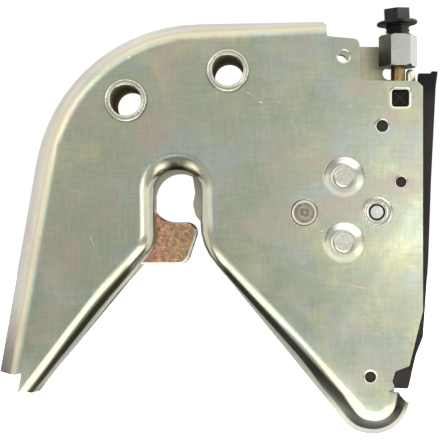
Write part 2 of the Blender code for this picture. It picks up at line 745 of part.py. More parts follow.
# Hook and what it turns on
def build_hook():
    bore = circle(HOOK_AXIS, BUSH_OUTER + RUN, WIDE_FACETS)
    eye = circle(spring_leg_end(), HOOK_SPRING_EYE, SMALL_FACETS)
    hook = slab("hook", [rounded(HOOK_OUTLINE), bore, eye], HOOK_FRONT_Y, HOOK_BACK_Y, PARTS)
    chamfer = hook.modifiers.new("Chamfer", "BEVEL")
    chamfer.width = HOOK_CHAMFER
    chamfer.segments = 1
    chamfer.limit_method = "ANGLE"
    chamfer.angle_limit = radians(60.0)
    chamfer.use_clamp_overlap = False
    return hook


def build_hook_bearing():
    bush = turned_y("hook_bush", HOOK_AXIS,
                    tube_profile(BUSH_BORE, BUSH_OUTER, HOOK_FRONT_Y, HOOK_BACK_Y),
                    WIDE_FACETS, PARTS, closed=True)
    front = turned_y("hook_spacer_front", HOOK_AXIS,
                     tube_profile(SLEEVE_OUTER + SEAT, SPACER_OUTER, INSIDE_FRONT_Y, HOOK_FRONT_Y - SEAT),
                     WIDE_FACETS, PARTS, closed=True)
    rear = turned_y("hook_spacer_rear", HOOK_AXIS,
                    tube_profile(SLEEVE_OUTER + SEAT, SPACER_OUTER, HOOK_BACK_Y + SEAT, INSIDE_BACK_Y),
                    WIDE_FACETS, PARTS, closed=True)
    return [bush, front, rear]


def spring_leg_end():
    """Where the leg of the hook's spring enters the hook, on the arm below the hub."""
    return HOOK_AXIS[0] - HOOK_SPRING_COIL, HOOK_AXIS[1] - HUB_RADIUS


def torsion_spring(name, axis, coil, wire_radius, turns, low, high, leg_in, leg_out, sink):
    """A coil about an axis along Y, with one straight leg and one that ends in a hook along Y."""
    steps = round(turns * COIL_STEPS)
    start = atan2(leg_in[1] - axis[1], leg_in[0] - axis[0]) - acos(
        coil / hypot(leg_in[0] - axis[0], leg_in[1] - axis[1]))
    end = atan2(leg_out[1] - axis[1], leg_out[0] - axis[0]) + acos(
        coil / hypot(leg_out[0] - axis[0], leg_out[1] - axis[1]))
    sweep = (end - start) % (2 * pi) + 2 * pi * int(turns) if turns > 0 else 0.0
    points = [(leg_in[0], low, leg_in[1])]
    for step in range(steps + 1):
        share = step / steps
        angle = start + sweep * share
        points.append((axis[0] + coil * cos(angle), low + (high - low) * share, axis[1] + coil * sin(angle)))
    points.append((leg_out[0], high, leg_out[1]))
    if sink:
        points.append((leg_out[0], high + sink, leg_out[1]))
    return wire(name, points, wire_radius, PARTS)


def build_hook_spring():
    low = INSIDE_FRONT_Y + 1.5 * HOOK_SPRING_WIRE
    high = HOOK_FRONT_Y - 1.6 * HOOK_SPRING_WIRE
    reach = POST_RADIUS + HOOK_SPRING_WIRE + SEAT
    rest = (POST_PLACE[0], POST_PLACE[1] - reach)
    return torsion_spring("hook_spring", HOOK_AXIS, HOOK_SPRING_COIL, HOOK_SPRING_WIRE,
                          HOOK_SPRING_TURNS, low, high, rest, spring_leg_end(), 3 * HOOK_SPRING_WIRE)


def build_spring_post():
    seat = INSIDE_BACK_Y
    return turned_y("spring_post", POST_PLACE, [
        (0.0, TAIL_Y), (POST_RADIUS, TAIL_Y), (POST_RADIUS, seat), (POST_FOOT, seat),
        (POST_FOOT, seat - POST_FOOT_THICK), (POST_RADIUS, seat - POST_FOOT_THICK),
        (POST_RADIUS, INSIDE_FRONT_Y), (0.0, INSIDE_FRONT_Y),
    ], SMALL_FACETS, PARTS)


# Levers
def build_transfer_lever():
    dx = DRIVE_PLACE[0] - TRANSFER_AXIS[0]
    dz = DRIVE_PLACE[1] - TRANSFER_AXIS[1]
    slot = DRIVE_PIN + SEAT + RUN / 2
    round_end = slot * 0.95
    nose_x, nose_z = NOSE_OFFSET
    arm = placed((
        (-TRANSFER_HUB, -TRANSFER_HUB, TRANSFER_HUB * 0.95),
        (-TRANSFER_HUB, TRANSFER_HUB * 0.6, TRANSFER_HUB / 2),
        (-NOSE_ARM_HALF, TRANSFER_HUB * 1.5, TRANSFER_HUB / 2),
        (nose_x - NOSE_ARM_HALF, nose_z, 0.0),
        (nose_x + NOSE_ARM_HALF, nose_z, 0.0),
        (NOSE_ARM_HALF * 1.2, TRANSFER_HUB, TRANSFER_HUB / 2),
    ), TRANSFER_AXIS, 0.0)
    fork = placed((
        (FORK_REACH, FORK_HALF, 0.0012),
        (FORK_REACH, slot, 0.0006),
        (FORK_FLOOR, slot, round_end),
        (FORK_FLOOR, -slot, round_end),
        (FORK_REACH, -slot, 0.0006),
        (FORK_REACH, -FORK_HALF, 0.0012),
    ), TRANSFER_AXIS, atan2(dz, dx))
    heel = placed(((TRANSFER_HUB * 0.6, -TRANSFER_HUB, TRANSFER_HUB / 3),), TRANSFER_AXIS, 0.0)
    bore = circle(TRANSFER_AXIS, LEVER_RIVET_SHANK + RUN, SMALL_FACETS + 4)
    eye = circle(lever_spring_end(), LEVER_SPRING_WIRE + SEAT, SMALL_FACETS)
    lever = slab("transfer_lever", [rounded(arm + fork + heel), bore, eye],
                 TRANSFER_FRONT_Y, TRANSFER_BACK_Y, PARTS)
    nose = circle((TRANSFER_AXIS[0] + nose_x, TRANSFER_AXIS[1] + nose_z), NOSE_RADIUS, MID_FACETS)
    proud = TRANSFER_THICK / 5
    combine(lever, slab("transfer_nose", [nose], TRANSFER_FRONT_Y - proud, TRANSFER_BACK_Y + proud,
                        CUTTERS), "UNION")
    return lever


def lever_spring_end():
    """Where the lever spring's leg enters the transfer lever, on the arm above the hub."""
    return TRANSFER_AXIS[0] + NOSE_OFFSET[0] / 2, TRANSFER_AXIS[1] + TRANSFER_HUB * 1.6


def build_lever_bearing():
    inner = LEVER_RIVET_SHANK + SEAT
    outer = inner + LEVER_SPACER_WALL
    front = turned_y("lever_spacer_front", TRANSFER_AXIS,
                     tube_profile(inner, outer, INSIDE_FRONT_Y, TRANSFER_FRONT_Y - SEAT),
                     SMALL_FACETS + 4, PARTS, closed=True)
    rear = turned_y("lever_spacer_rear", TRANSFER_AXIS,
                    tube_profile(inner, outer, TRANSFER_BACK_Y + SEAT, INSIDE_BACK_Y),
                    SMALL_FACETS + 4, PARTS, closed=True)
    return [front, rear]


def build_lever_spring():
    low = FRONT_BACK_Y + DIMPLE_DEPTH + SEAT + 1.2 * LEVER_SPRING_WIRE
    high = TRANSFER_FRONT_Y - 1.6 * LEVER_SPRING_WIRE
    rest = (SPACER_RIVET_X, SPACER_RIVET_Z[1] + RIVET_SPACER + LEVER_SPRING_WIRE + SEAT)
    return torsion_spring("lever_spring", TRANSFER_AXIS, LEVER_SPRING_COIL, LEVER_SPRING_WIRE,
                          LEVER_SPRING_TURNS, low, high, rest, lever_spring_end(), 3 * LEVER_SPRING_WIRE)


def build_release_lever():
    """A plate with an eye for the drive pin, and a bar that carries a wide pad under the rod."""
    outline = hull([(RELEASE_AXIS, RELEASE_HUB), (DRIVE_PLACE, DRIVE_EYE)])
    bore = circle(RELEASE_AXIS, SHAFT_BODY + RUN, SMALL_FACETS + 4)
    eye = circle(DRIVE_PLACE, DRIVE_PIN + RUN, SMALL_FACETS)
    lever = slab("release_lever", [outline, bore, eye], RELEASE_FRONT_Y, RELEASE_BACK_Y, PARTS)
    shift = RELEASE_THICK / 10
    start = (SHAFT_BODY + RELEASE_HUB) / 2
    bar = placed((
        (start, -PAD_ARM_HALF, 0.0), (PAD_ARM, -PAD_ARM_HALF, 0.0),
        (PAD_ARM, PAD_ARM_HALF, 0.0), (start, PAD_ARM_HALF, 0.0),
    ), RELEASE_AXIS, PAD_ANGLE)
    combine(lever, slab("release_bar", [rounded(bar)], RELEASE_FRONT_Y + shift,
                        RELEASE_BACK_Y - shift, CUTTERS), "UNION")
    combine(lever, slab("release_pad", [circle(PAD_PLACE, PAD_RADIUS, MID_FACETS)],
                        CYLINDER_Y - ROD, RELEASE_BACK_Y - shift / 2, CUTTERS), "UNION")
    return lever


def hull(circles):
    """Outline of a belt laid round some circles."""
    cloud = []
    for centre, radius in circles:
        cloud += [tuple(point) for point in circle(centre, radius, WIDE_FACETS)]
    cloud.sort()

    def half(points):
        chain = []
        for point in points:
            while len(chain) > 1 and turn(chain[-2], chain[-1], point) <= 0:
                chain.pop()
            chain.append(point)
        return chain[:-1]

    def turn(a, b, c):
        return (b[0] - a[0]) * (c[1] - a[1]) - (b[1] - a[1]) * (c[0] - a[0])

    return half(cloud) + half(cloud[::-1])


def build_release_shaft():
    """Shaft with two journals, its front bush, the seal round its end, the drive pin and its clip."""
    shoulder = FRONT_BACK_Y + SEAT + SHAFT_BUSH_LIP + SEAT
    end_step = FRONT_Y + SHAFT_SEAL_DEPTH
    shaft = turned_y("release_shaft", RELEASE_AXIS, [
        (0.0, TAIL_Y), (SHAFT_JOURNAL, TAIL_Y), (SHAFT_JOURNAL, INSIDE_BACK_Y),
        (SHAFT_BODY, INSIDE_BACK_Y), (SHAFT_BODY, shoulder), (SHAFT_JOURNAL, shoulder),
        (SHAFT_JOURNAL, end_step), (SHAFT_END, end_step), (SHAFT_END, FRONT_Y), (0.0, FRONT_Y),
    ], SMALL_FACETS + 4, PARTS)
    bore = SHAFT_JOURNAL + RUN
    bush = turned_y("shaft_bush", RELEASE_AXIS, [
        (SHAFT_BUSH_FLANGE, INSIDE_FRONT_Y + SHAFT_BUSH_LIP), (SHAFT_BUSH_FLANGE, INSIDE_FRONT_Y),
        (SHAFT_BUSH, INSIDE_FRONT_Y), (SHAFT_BUSH, FRONT_Y - SEAT), (bore, FRONT_Y - SEAT),
        (bore, INSIDE_FRONT_Y + SHAFT_BUSH_LIP),
    ], SMALL_FACETS + 4, PARTS, closed=True)
    seal = turned_y("shaft_seal", RELEASE_AXIS,
                    tube_profile(SHAFT_END + RUN, SHAFT_JOURNAL, FRONT_Y + SEAT, end_step - RUN),
                    SMALL_FACETS + 4, PARTS, closed=True)
    clip_back = TRANSFER_FRONT_Y - SEAT
    clip_front = clip_back - CLIP_THICK
    pin_front = clip_front - CLIP_THICK
    pin = turned_y("drive_pin", DRIVE_PLACE, [
        (0.0, RELEASE_BACK_Y + SEAT), (DRIVE_PIN, RELEASE_BACK_Y + SEAT),
        (DRIVE_PIN, pin_front), (0.0, pin_front),
    ], SMALL_FACETS, PARTS)
    clip = turned_y("pin_clip", DRIVE_PLACE, tube_profile(DRIVE_PIN + RUN, CLIP_OUTER, clip_front, clip_back),
                    SMALL_FACETS, PARTS, closed=True)
    return [shaft, bush, seal, pin, clip]


# Hydraulic release
def upright(name, profile, facets, closed=False, x=CYLINDER_X, collection=None):
    """A turned piece on the cylinder's upright axis, whose profile holds (radius, Z) points."""
    return turned(name, profile, (x, CYLINDER_Y, 0.0), "Z", facets, collection or PARTS, closed)


def build_cylinder_block():
    """Cast block between the two plates, bored from below for the piston."""
    half = BLOCK_WIDTH / 2
    outline = rounded([
        (CYLINDER_X - half, BLOCK_BOTTOM, BLOCK_EDGE), (CYLINDER_X + half, BLOCK_BOTTOM, BLOCK_EDGE),
        (CYLINDER_X + half, BLOCK_TOP, BLOCK_EDGE), (CYLINDER_X - half, BLOCK_TOP, BLOCK_EDGE),
    ])
    block = slab("cylinder_block", [outline], BLOCK_FRONT_Y, INSIDE_BACK_Y, PARTS)
    boss = upright("bleed_boss", [
        (0.0, BLEED_HEIGHT), (BLEED_BOSS * 0.6, BLEED_HEIGHT - BLEED_BOSS * 0.12),
        (BLEED_BOSS * 0.92, BLEED_HEIGHT - BLEED_BOSS * 0.5), (BLEED_BOSS, BLEED_HEIGHT - BLEED_BOSS),
        (BLEED_BOSS, BLOCK_TOP - BLEED_BOSS), (0.0, BLOCK_TOP - BLEED_BOSS),
    ], SMALL_FACETS, x=BLEED_X, collection=CUTTERS)
    combine(block, boss, "UNION")
    bore = upright("block_bore", [
        (0.0, BLOCK_TOP + CUT_OVER), (NECK + SEAT, BLOCK_TOP + CUT_OVER),
        (NECK + SEAT, BLOCK_TOP - NECK_DEPTH - SEAT), (PASSAGE, BLOCK_TOP - NECK_DEPTH - SEAT),
        (PASSAGE, BORE_TOP), (BORE + RUN, BORE_TOP), (BORE + RUN, BLOCK_BOTTOM - CUT_OVER),
        (0.0, BLOCK_BOTTOM - CUT_OVER),
    ], MID_FACETS, collection=CUTTERS)
    combine(block, bore, "DIFFERENCE")
    tapped = [(CYLINDER_X, z, SCREW_SHANK + SEAT) for z in SCREW_Z]
    drill(block, tapped, -SCREW_LENGTH - SEAT, 0.0)
    return block


def build_piston():
    bottom = PISTON_TOP - PISTON_LENGTH
    middle = PISTON_TOP - PISTON_LENGTH / 2
    groove_high = middle + PISTON_SEAL_HEIGHT / 2
    groove_low = middle - PISTON_SEAL_HEIGHT / 2
    groove = BORE - PISTON_SEAL_DEPTH
    piston = upright("piston_rod", [
        (0.0, PISTON_TOP), (BORE, PISTON_TOP), (BORE, groove_high), (groove, groove_high),
        (groove, groove_low), (BORE, groove_low), (BORE, bottom), (ROD, bottom),
        (ROD, ROD_TIP_Z + ROD_TAPER), (ROD_TIP, ROD_TIP_Z), (0.0, ROD_TIP_Z),
    ], MID_FACETS)
    seal = upright("piston_seal", tube_profile(
        groove + RUN, BORE, groove_low + RUN, groove_high - RUN), MID_FACETS, closed=True)
    gland_top = BLOCK_BOTTOM + GLAND_HEIGHT
    gland = upright("rod_gland", tube_profile(ROD + RUN, BORE, BLOCK_BOTTOM, gland_top), MID_FACETS, closed=True)
    spring_top = bottom - SEAT - PISTON_SPRING_WIRE
    spring_bottom = gland_top + SEAT + PISTON_SPRING_WIRE
    steps = PISTON_SPRING_TURNS * COIL_STEPS
    points = []
    for step in range(steps + 1):
        angle = 2 * pi * PISTON_SPRING_TURNS * step / steps
        height = spring_bottom + (spring_top - spring_bottom) * step / steps
        points.append((CYLINDER_X + PISTON_SPRING_COIL * cos(angle),
                       CYLINDER_Y + PISTON_SPRING_COIL * sin(angle), height))
    spring = wire("piston_spring", points, PISTON_SPRING_WIRE, PARTS)
    return [piston, seal, gland, spring]


def build_inlet():
    nut_top = NUT_BOTTOM + NUT_HEIGHT
    nut_floor = NUT_BOTTOM + NUT_FLOOR
    neck_top = nut_floor - NECK_TOP_GAP
    neck_bottom = BLOCK_TOP - NECK_DEPTH
    neck = upright("inlet_neck", tube_profile(PASSAGE, NECK, neck_bottom, neck_top), SMALL_FACETS + 4, closed=True)
    corner = NUT_ACROSS_FLATS / 2 / cos(pi / 6)
    nut = upright("inlet_nut", [
        (0.0, nut_top), (corner, nut_top), (corner, NUT_BOTTOM), (0.0, NUT_BOTTOM)], 6)
    nut.rotation_euler = (0.0, 0.0, NUT_TURN)
    crown = upright("nut_crown", [
        (0.0, nut_top + SEAT), (corner - NUT_CHAMFER - SEAT, nut_top + SEAT),
        (corner + SEAT, nut_top - NUT_CHAMFER), (corner + SEAT, NUT_BOTTOM + NUT_CHAMFER),
        (corner - NUT_CHAMFER - SEAT, NUT_BOTTOM - SEAT), (0.0, NUT_BOTTOM - SEAT),
    ], MID_FACETS, collection=CUTTERS)
    combine(nut, crown, "INTERSECT")
    hollow = upright("nut_bore", [
        (0.0, nut_top + CUT_OVER), (NUT_BORE, nut_top + CUT_OVER), (NUT_BORE, nut_floor),
        (NECK + SEAT, nut_floor), (NECK + SEAT, NUT_BOTTOM - CUT_OVER), (0.0, NUT_BOTTOM - CUT_OVER),
    ], MID_FACETS, collection=CUTTERS)
    combine(nut, hollow, "DIFFERENCE")
    shade_flat_sides(nut)
    washer = upright("sealing_washer", tube_profile(
        PASSAGE, WASHER_OUTER, nut_floor + SEAT, nut_floor + SEAT + WASHER_THICK), SMALL_FACETS, closed=True)
    return [neck, nut, washer]


def shade_flat_sides(thing):
    for polygon in thing.data.polygons:
        polygon.use_smooth = False


def build_plug():
    """Plastic plug that stands a little askew in the nut, pushed in rather than screwed home."""
    nut_top = NUT_BOTTOM + NUT_HEIGHT
    flange_low = PLUG_RAISE
    flange_high = flange_low + PLUG_FLANGE_THICK
    thread_low = flange_low - PLUG_THREAD_LENGTH
    ridges = []
    count = round(PLUG_THREAD_LENGTH / RIDGE_PITCH) - 1
    for ridge in range(count):
        top = flange_low - RIDGE_PITCH * (ridge + 0.35)
        ridges += [
            (PLUG_THREAD - RIDGE_HEIGHT, top), (PLUG_THREAD, top - RIDGE_PITCH * 0.3),
            (PLUG_THREAD, top - RIDGE_PITCH * 0.5), (PLUG_THREAD - RIDGE_HEIGHT, top - RIDGE_PITCH * 0.8),
        ]
    edge = PLUG_FLANGE_THICK / 4
    profile = [
        (0.0, flange_high), (PLUG_FLANGE - edge, flange_high), (PLUG_FLANGE, flange_high - edge),
        (PLUG_FLANGE, flange_low + edge), (PLUG_FLANGE - edge, flange_low),
        (PLUG_THREAD - RIDGE_HEIGHT, flange_low), *ridges,
        (PLUG_THREAD - RIDGE_HEIGHT, thread_low + RIDGE_HEIGHT),
        (PLUG_THREAD - 2 * RIDGE_HEIGHT, thread_low), (0.0, thread_low),
    ]
    plug = turned("transit_plug", profile, (CYLINDER_X, CYLINDER_Y, nut_top), "Z", MID_FACETS, PARTS)
    corner = PLUG_HEAD_ACROSS / 2 / cos(pi / 6)
    head = turned("plug_head", [
        (0.0, flange_high + PLUG_HEAD_HEIGHT), (corner, flange_high + PLUG_HEAD_HEIGHT),
        (corner, flange_low + edge), (0.0, flange_low + edge),
    ], (CYLINDER_X, CYLINDER_Y, nut_top), "Z", 6, CUTTERS)
    combine(plug, head, "UNION")
    for piece, twist in ((plug, 0.0), (head, radians(27.0))):
        piece.rotation_euler = (0.0, -PLUG_TILT, twist)
    return plug


def build_cylinder_screws():
    names = ("cylinder_screw_upper", "cylinder_screw_lower")
    return [
        turned_y(name, (CYLINDER_X, z), [
            (0.0, TAIL_Y), (SCREW_HEAD, TAIL_Y), (SCREW_SHANK, TAIL_Y - SCREW_HEAD + SCREW_SHANK),
            (SCREW_SHANK, -SCREW_LENGTH + SCREW_SHANK / 4), (SCREW_SHANK * 0.75, -SCREW_LENGTH),
            (0.0, -SCREW_LENGTH),
        ], SMALL_FACETS, PARTS)
        for name, z in zip(names, SCREW_Z)
    ]


# Side cover
def inset_line(corners, distance):
    """Corners of a cover outline moved towards the case by a distance."""
    return [(x - distance, z, radius) for x, z, radius in corners]


def build_side_cover():
    """Plastic channel along the open right side, pegged into the front plate."""
    spine = COVER_OUTLINE[10:17]
    cover = slab("side_cover", [rounded(COVER_OUTLINE)], COVER_FRONT_Y, INSIDE_BACK_Y - SEAT, PARTS)
    far_left = RELEASE_AXIS[0] - BLOCK_WIDTH
    low, high = spine[0][1] - CUT_OVER, spine[-1][1] + CUT_OVER

    def hollow(name, inset, front, back):
        line = inset_line(spine, inset)
        loop = [(far_left, low, 0.0), (line[0][0], low, 0.0), *line[1:-1], (line[-1][0], high, 0.0),
                (far_left, high, 0.0)]
        tool = slab(name, [rounded(loop)], front, back, CUTTERS)
        combine(cover, tool, "DIFFERENCE")

    hollow("cover_channel", COVER_WALL, COVER_FRONT_Y + COVER_WALL, INSIDE_BACK_Y - SEAT - COVER_WALL)
    hollow("cover_mouth", COVER_WALL + COVER_RIM, FRONT_Y / 2, CUT_OVER)
    peg_front = FRONT_Y + COVER_PEG_SUNK
    peg_back = COVER_FRONT_Y + COVER_WALL / 2
    for number, (x, z, radius) in enumerate(COVER_PEGS):
        peg = slab(f"cover_peg_{number}", [circle((x, z), radius - SEAT, SMALL_FACETS)],
                   peg_front, peg_back, CUTTERS)
        combine(cover, peg, "UNION")
    block = slab("cover_block", [box_outline(COVER_BLOCK, COVER_BLOCK_SIDE - 2 * SEAT, COVER_BLOCK_RADIUS)],
                 peg_front, peg_back, CUTTERS)
    combine(cover, block, "UNION")
    lug = slab("cover_lug", [rounded(LUG_OUTLINE)], FRONT_Y + SEAT, peg_back, CUTTERS)
    combine(cover, lug, "UNION")
    return cover


# Materials, in the colours that the photograph shows
def build_materials():
    zinc = finish_material("zinc_passivated", (0.36, 0.36, 0.27), 0.85, 0.42)
    dark_zinc = finish_material("zinc_dull", (0.30, 0.30, 0.24), 0.80, 0.50)
    steel = finish_material("steel_bright", (0.56, 0.56, 0.55), 0.95, 0.30)
    copper = finish_material("hook_chromate", (0.42, 0.24, 0.14), 0.75, 0.45)
    gold = finish_material("neck_chromate", (0.40, 0.27, 0.10), 0.85, 0.35)
    aluminium = finish_material("cast_aluminium", (0.62, 0.63, 0.60), 0.85, 0.45)
    bronze = finish_material("sintered_bronze", (0.45, 0.33, 0.18), 0.80, 0.45)
    spring = finish_material("spring_steel", (0.22, 0.22, 0.22), 0.90, 0.35)
    plastic = finish_material("black_plastic", (0.015, 0.014, 0.013), 0.0, 0.50)
    rubber = finish_material("black_rubber", (0.012, 0.012, 0.012), 0.0, 0.75)
    return {
        "front_plate": zinc, "rear_plate": dark_zinc, "pin_guide_plate": zinc,
        "mounting_sleeve_left": zinc, "mounting_sleeve_right": zinc,
        "hook": copper, "hook_bush": bronze, "shaft_bush": bronze, "inlet_neck": gold,
        "hook_spring": spring, "lever_spring": spring, "piston_spring": spring,
        "cylinder_block": aluminium, "rod_gland": aluminium,
        "transit_plug": plastic, "side_cover": plastic,
        "shaft_seal": rubber, "piston_seal": rubber, "sealing_washer": copper,
        "other": steel,
    }


def main():
    build_front_plate()
    build_rear_plate()
    build_sleeves()
    build_spacer_rivets()
    build_lever_rivet()
    build_guide_plate()
    build_hook()
    build_hook_bearing()
    build_hook_spring()
    build_spring_post()
    build_transfer_lever()
    build_lever_bearing()
    build_lever_spring()
    build_release_lever()
    build_release_shaft()
    build_cylinder_block()
    build_piston()
    build_inlet()
    build_plug()
    build_cylinder_screws()
    build_side_cover()
    materials = build_materials()
    for thing in PARTS.objects:
        thing.data.materials.clear()
        thing.data.materials.append(materials.get(thing.name, materials["other"]))


for old in list(bpy.data.objects):
    bpy.data.objects.remove(old)
PARTS = fresh_collection("cab_lock")
CUTTERS = fresh_collection("cutters")
main()
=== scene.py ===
# %% [markdown]
# # A cab lock in zinc-plated steel
# This lesson dresses a finished CAD model of a cab lock. The lock sits between the tilting cab and the
# frame of a lorry: its slot takes a pin, and the hook behind the slot holds the pin until oil pressure
# lets it go. The CAD model gives every piece its true place, in metres, so nothing has to be fitted.
# What is left to do here is the look: soft edges, the plating's clouds of colour, scratches and light.

import json
from math import cos, pi, radians, sin

import bmesh
import bpy
from mathutils import Matrix, Vector
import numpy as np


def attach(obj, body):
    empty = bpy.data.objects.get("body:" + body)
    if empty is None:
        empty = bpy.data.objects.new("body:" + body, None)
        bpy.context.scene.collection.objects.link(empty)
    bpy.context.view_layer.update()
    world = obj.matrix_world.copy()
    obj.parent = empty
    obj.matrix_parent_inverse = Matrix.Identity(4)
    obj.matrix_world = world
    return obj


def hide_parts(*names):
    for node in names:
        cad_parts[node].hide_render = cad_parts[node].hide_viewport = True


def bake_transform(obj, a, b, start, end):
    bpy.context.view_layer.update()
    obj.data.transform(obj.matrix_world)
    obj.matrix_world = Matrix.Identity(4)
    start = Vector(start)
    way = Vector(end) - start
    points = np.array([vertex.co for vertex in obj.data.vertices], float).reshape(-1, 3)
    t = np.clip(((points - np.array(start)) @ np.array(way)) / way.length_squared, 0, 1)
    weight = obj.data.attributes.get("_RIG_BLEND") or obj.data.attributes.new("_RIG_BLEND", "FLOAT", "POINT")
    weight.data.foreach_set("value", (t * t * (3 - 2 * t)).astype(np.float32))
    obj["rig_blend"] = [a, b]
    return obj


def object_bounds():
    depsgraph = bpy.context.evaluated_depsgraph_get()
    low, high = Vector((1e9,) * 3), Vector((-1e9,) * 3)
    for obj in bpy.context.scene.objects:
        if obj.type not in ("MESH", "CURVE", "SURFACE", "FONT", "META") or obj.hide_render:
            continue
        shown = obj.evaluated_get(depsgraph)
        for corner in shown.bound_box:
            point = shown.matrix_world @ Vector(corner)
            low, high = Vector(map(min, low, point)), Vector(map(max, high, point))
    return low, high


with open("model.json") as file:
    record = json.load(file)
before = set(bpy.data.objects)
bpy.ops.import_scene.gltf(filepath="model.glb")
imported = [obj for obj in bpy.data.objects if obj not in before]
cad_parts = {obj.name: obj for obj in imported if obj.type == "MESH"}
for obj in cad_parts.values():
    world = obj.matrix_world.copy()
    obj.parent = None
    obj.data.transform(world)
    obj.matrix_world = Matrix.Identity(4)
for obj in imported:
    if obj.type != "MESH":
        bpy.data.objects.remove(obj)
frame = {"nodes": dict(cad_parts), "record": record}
cad_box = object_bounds()
print("CAD box in mm:", [round(value * 1000, 1) for corner in cad_box for value in corner])

# %% [markdown]
# ## Camera
# The lock was photographed from straight in front. The photo doesn't tell how far the camera stood: the
# distance here follows from the depth that was chosen for the lock. Lines that run away from the
# camera meet at one point a little right of the middle of the picture and below it, so the lens looks
# at that point and the picture is shifted sideways. A shift keeps the front plate free of distortion,
# where a turned camera would make its straight edges lean.

# %% Camera
PLATE_Y = -0.034
CAMERA_DISTANCE = 0.618
PIXEL = 0.00049
FRAME_PIXELS = 440
VANISHING = (262.0, 243.0)
ORIGIN = (176.8, 85.6)


def on_plate(column, row):
    """Place on the front plate, in metres, of a pixel of the 440 by 440 picture."""
    return ((column - ORIGIN[0]) * PIXEL, (ORIGIN[1] - row) * PIXEL)


eye_x, eye_z = on_plate(*VANISHING)
camera_data = bpy.data.cameras.new("camera")
camera_data.sensor_width = 36.0
camera_data.lens = 36.0 * CAMERA_DISTANCE / (FRAME_PIXELS * PIXEL)
camera_data.shift_x = (FRAME_PIXELS / 2 - VANISHING[0]) / FRAME_PIXELS
camera_data.shift_y = (VANISHING[1] - FRAME_PIXELS / 2) / FRAME_PIXELS
camera = bpy.data.objects.new("camera", camera_data)
camera.location = (eye_x, PLATE_Y - CAMERA_DISTANCE, eye_z)
camera.rotation_euler = (pi / 2, 0.0, 0.0)
bpy.context.scene.collection.objects.link(camera)
bpy.context.scene.camera = camera
print(f"camera {camera_data.lens:.1f} mm, shift {camera_data.shift_x:.3f}, {camera_data.shift_y:.3f}")

# %% [markdown]
# ## Working with shader nodes
# Materials here are built from nodes in code. Two small helpers keep that readable: one adds a node
# with its settings and links, and one adds a node group with named sockets. A value that is already a
# socket gets linked, and any other value is written into the socket.

# %% Helpers for shader nodes
def put(tree, kind, inputs=None, **settings):
    """Adds a node, with its settings by name and its inputs by name or number."""
    made = tree.nodes.new(kind)
    for name, value in settings.items():
        setattr(made, name, value)
    for name, value in (inputs or {}).items():
        if isinstance(value, bpy.types.NodeSocket):
            tree.links.new(value, made.inputs[name])
        else:
            made.inputs[name].default_value = value
    return made


def calculate(tree, operation, first, second=0.0, clamp=False):
    """Output of a Math node."""
    return put(tree, "ShaderNodeMath", {0: first, 1: second}, operation=operation, use_clamp=clamp).outputs[0]


def mix_colours(tree, factor, first, second, blend="MIX"):
    """Output of a colour Mix node."""
    made = put(tree, "ShaderNodeMix", {0: factor, 6: first, 7: second}, data_type="RGBA", blend_type=blend)
    return made.outputs[2]


def remap(tree, value, low, high, to_low=0.0, to_high=1.0):
    """Output of a Map Range node that eases in and out."""
    made = put(tree, "ShaderNodeMapRange", {0: value, 1: low, 2: high, 3: to_low, 4: to_high},
               interpolation_type="SMOOTHSTEP")
    return made.outputs[0]


def new_group(name, takes, gives):
    """Empty node group; takes and gives hold (socket type, name, default value)."""
    tree = bpy.data.node_groups.new(name, "ShaderNodeTree")
    for side, sockets in (("INPUT", takes), ("OUTPUT", gives)):
        for kind, label, default in sockets:
            socket = tree.interface.new_socket(name=label, in_out=side, socket_type=kind)
            if default is not None:
                socket.default_value = default
    return tree, tree.nodes.new("NodeGroupInput"), tree.nodes.new("NodeGroupOutput")


def use(tree, group, inputs=None):
    """Places a group in a tree and returns its outputs."""
    made = tree.nodes.new("ShaderNodeGroup")
    made.node_tree = group
    for name, value in (inputs or {}).items():
        if isinstance(value, bpy.types.NodeSocket):
            tree.links.new(value, made.inputs[name])
        else:
            made.inputs[name].default_value = value
    return made.outputs


FLOAT = "NodeSocketFloat"
COLOUR = "NodeSocketColor"
VECTOR = "NodeSocketVector"

# %% [markdown]
# ## Clouds of the plating
# Zinc plate gets a thin yellow passivation after its bath. The film is thinner than a wavelength of
# light in places, so it shows soft clouds of olive, rose and bluish grey. One way would be to paint
# them. Here three noises at the same scale, each shifted from the others, lay one tint after another
# over the base colour, so the clouds overlap and never repeat. The group takes the tints, so the
# plates, the rivets and the hook can each have their own.

# %% Group: plating clouds
clouds, takes, gives = new_group("plating_clouds", [
    (FLOAT, "Scale", 30.0), (FLOAT, "Strength", 1.0), (COLOUR, "Base", (0.5, 0.5, 0.4, 1.0)),
    (COLOUR, "Rose", (0.5, 0.4, 0.35, 1.0)), (COLOUR, "Blue", (0.4, 0.45, 0.45, 1.0)),
    (COLOUR, "Gold", (0.5, 0.45, 0.25, 1.0)), (FLOAT, "Shift", 0.0),
], [(COLOUR, "Colour", None), (FLOAT, "Cloud", None)])
place = put(clouds, "ShaderNodeTexCoord").outputs["Object"]
colour = takes.outputs["Base"]
cloud = None
TINT_LIMITS = (("Rose", 0.44, 0.68), ("Blue", 0.46, 0.70), ("Gold", 0.48, 0.72))
for number, (tint, low, high) in enumerate(TINT_LIMITS):
    offset = calculate(clouds, "ADD", takes.outputs["Shift"], 3.7 * number)
    noise = put(clouds, "ShaderNodeTexNoise", {
        "Vector": place, "W": offset, "Scale": takes.outputs["Scale"], "Detail": 4.0,
        "Roughness": 0.55, "Distortion": 0.6,
    }, noise_dimensions="4D")
    mask = remap(clouds, noise.outputs[0], low, high)
    mask = calculate(clouds, "MULTIPLY", mask, takes.outputs["Strength"])
    colour = mix_colours(clouds, mask, colour, takes.outputs[tint])
    cloud = noise.outputs[0] if cloud is None else cloud
clouds.links.new(colour, gives.inputs["Colour"])
clouds.links.new(cloud, gives.inputs["Cloud"])
print("group", clouds.name, "with", len(clouds.nodes), "nodes")

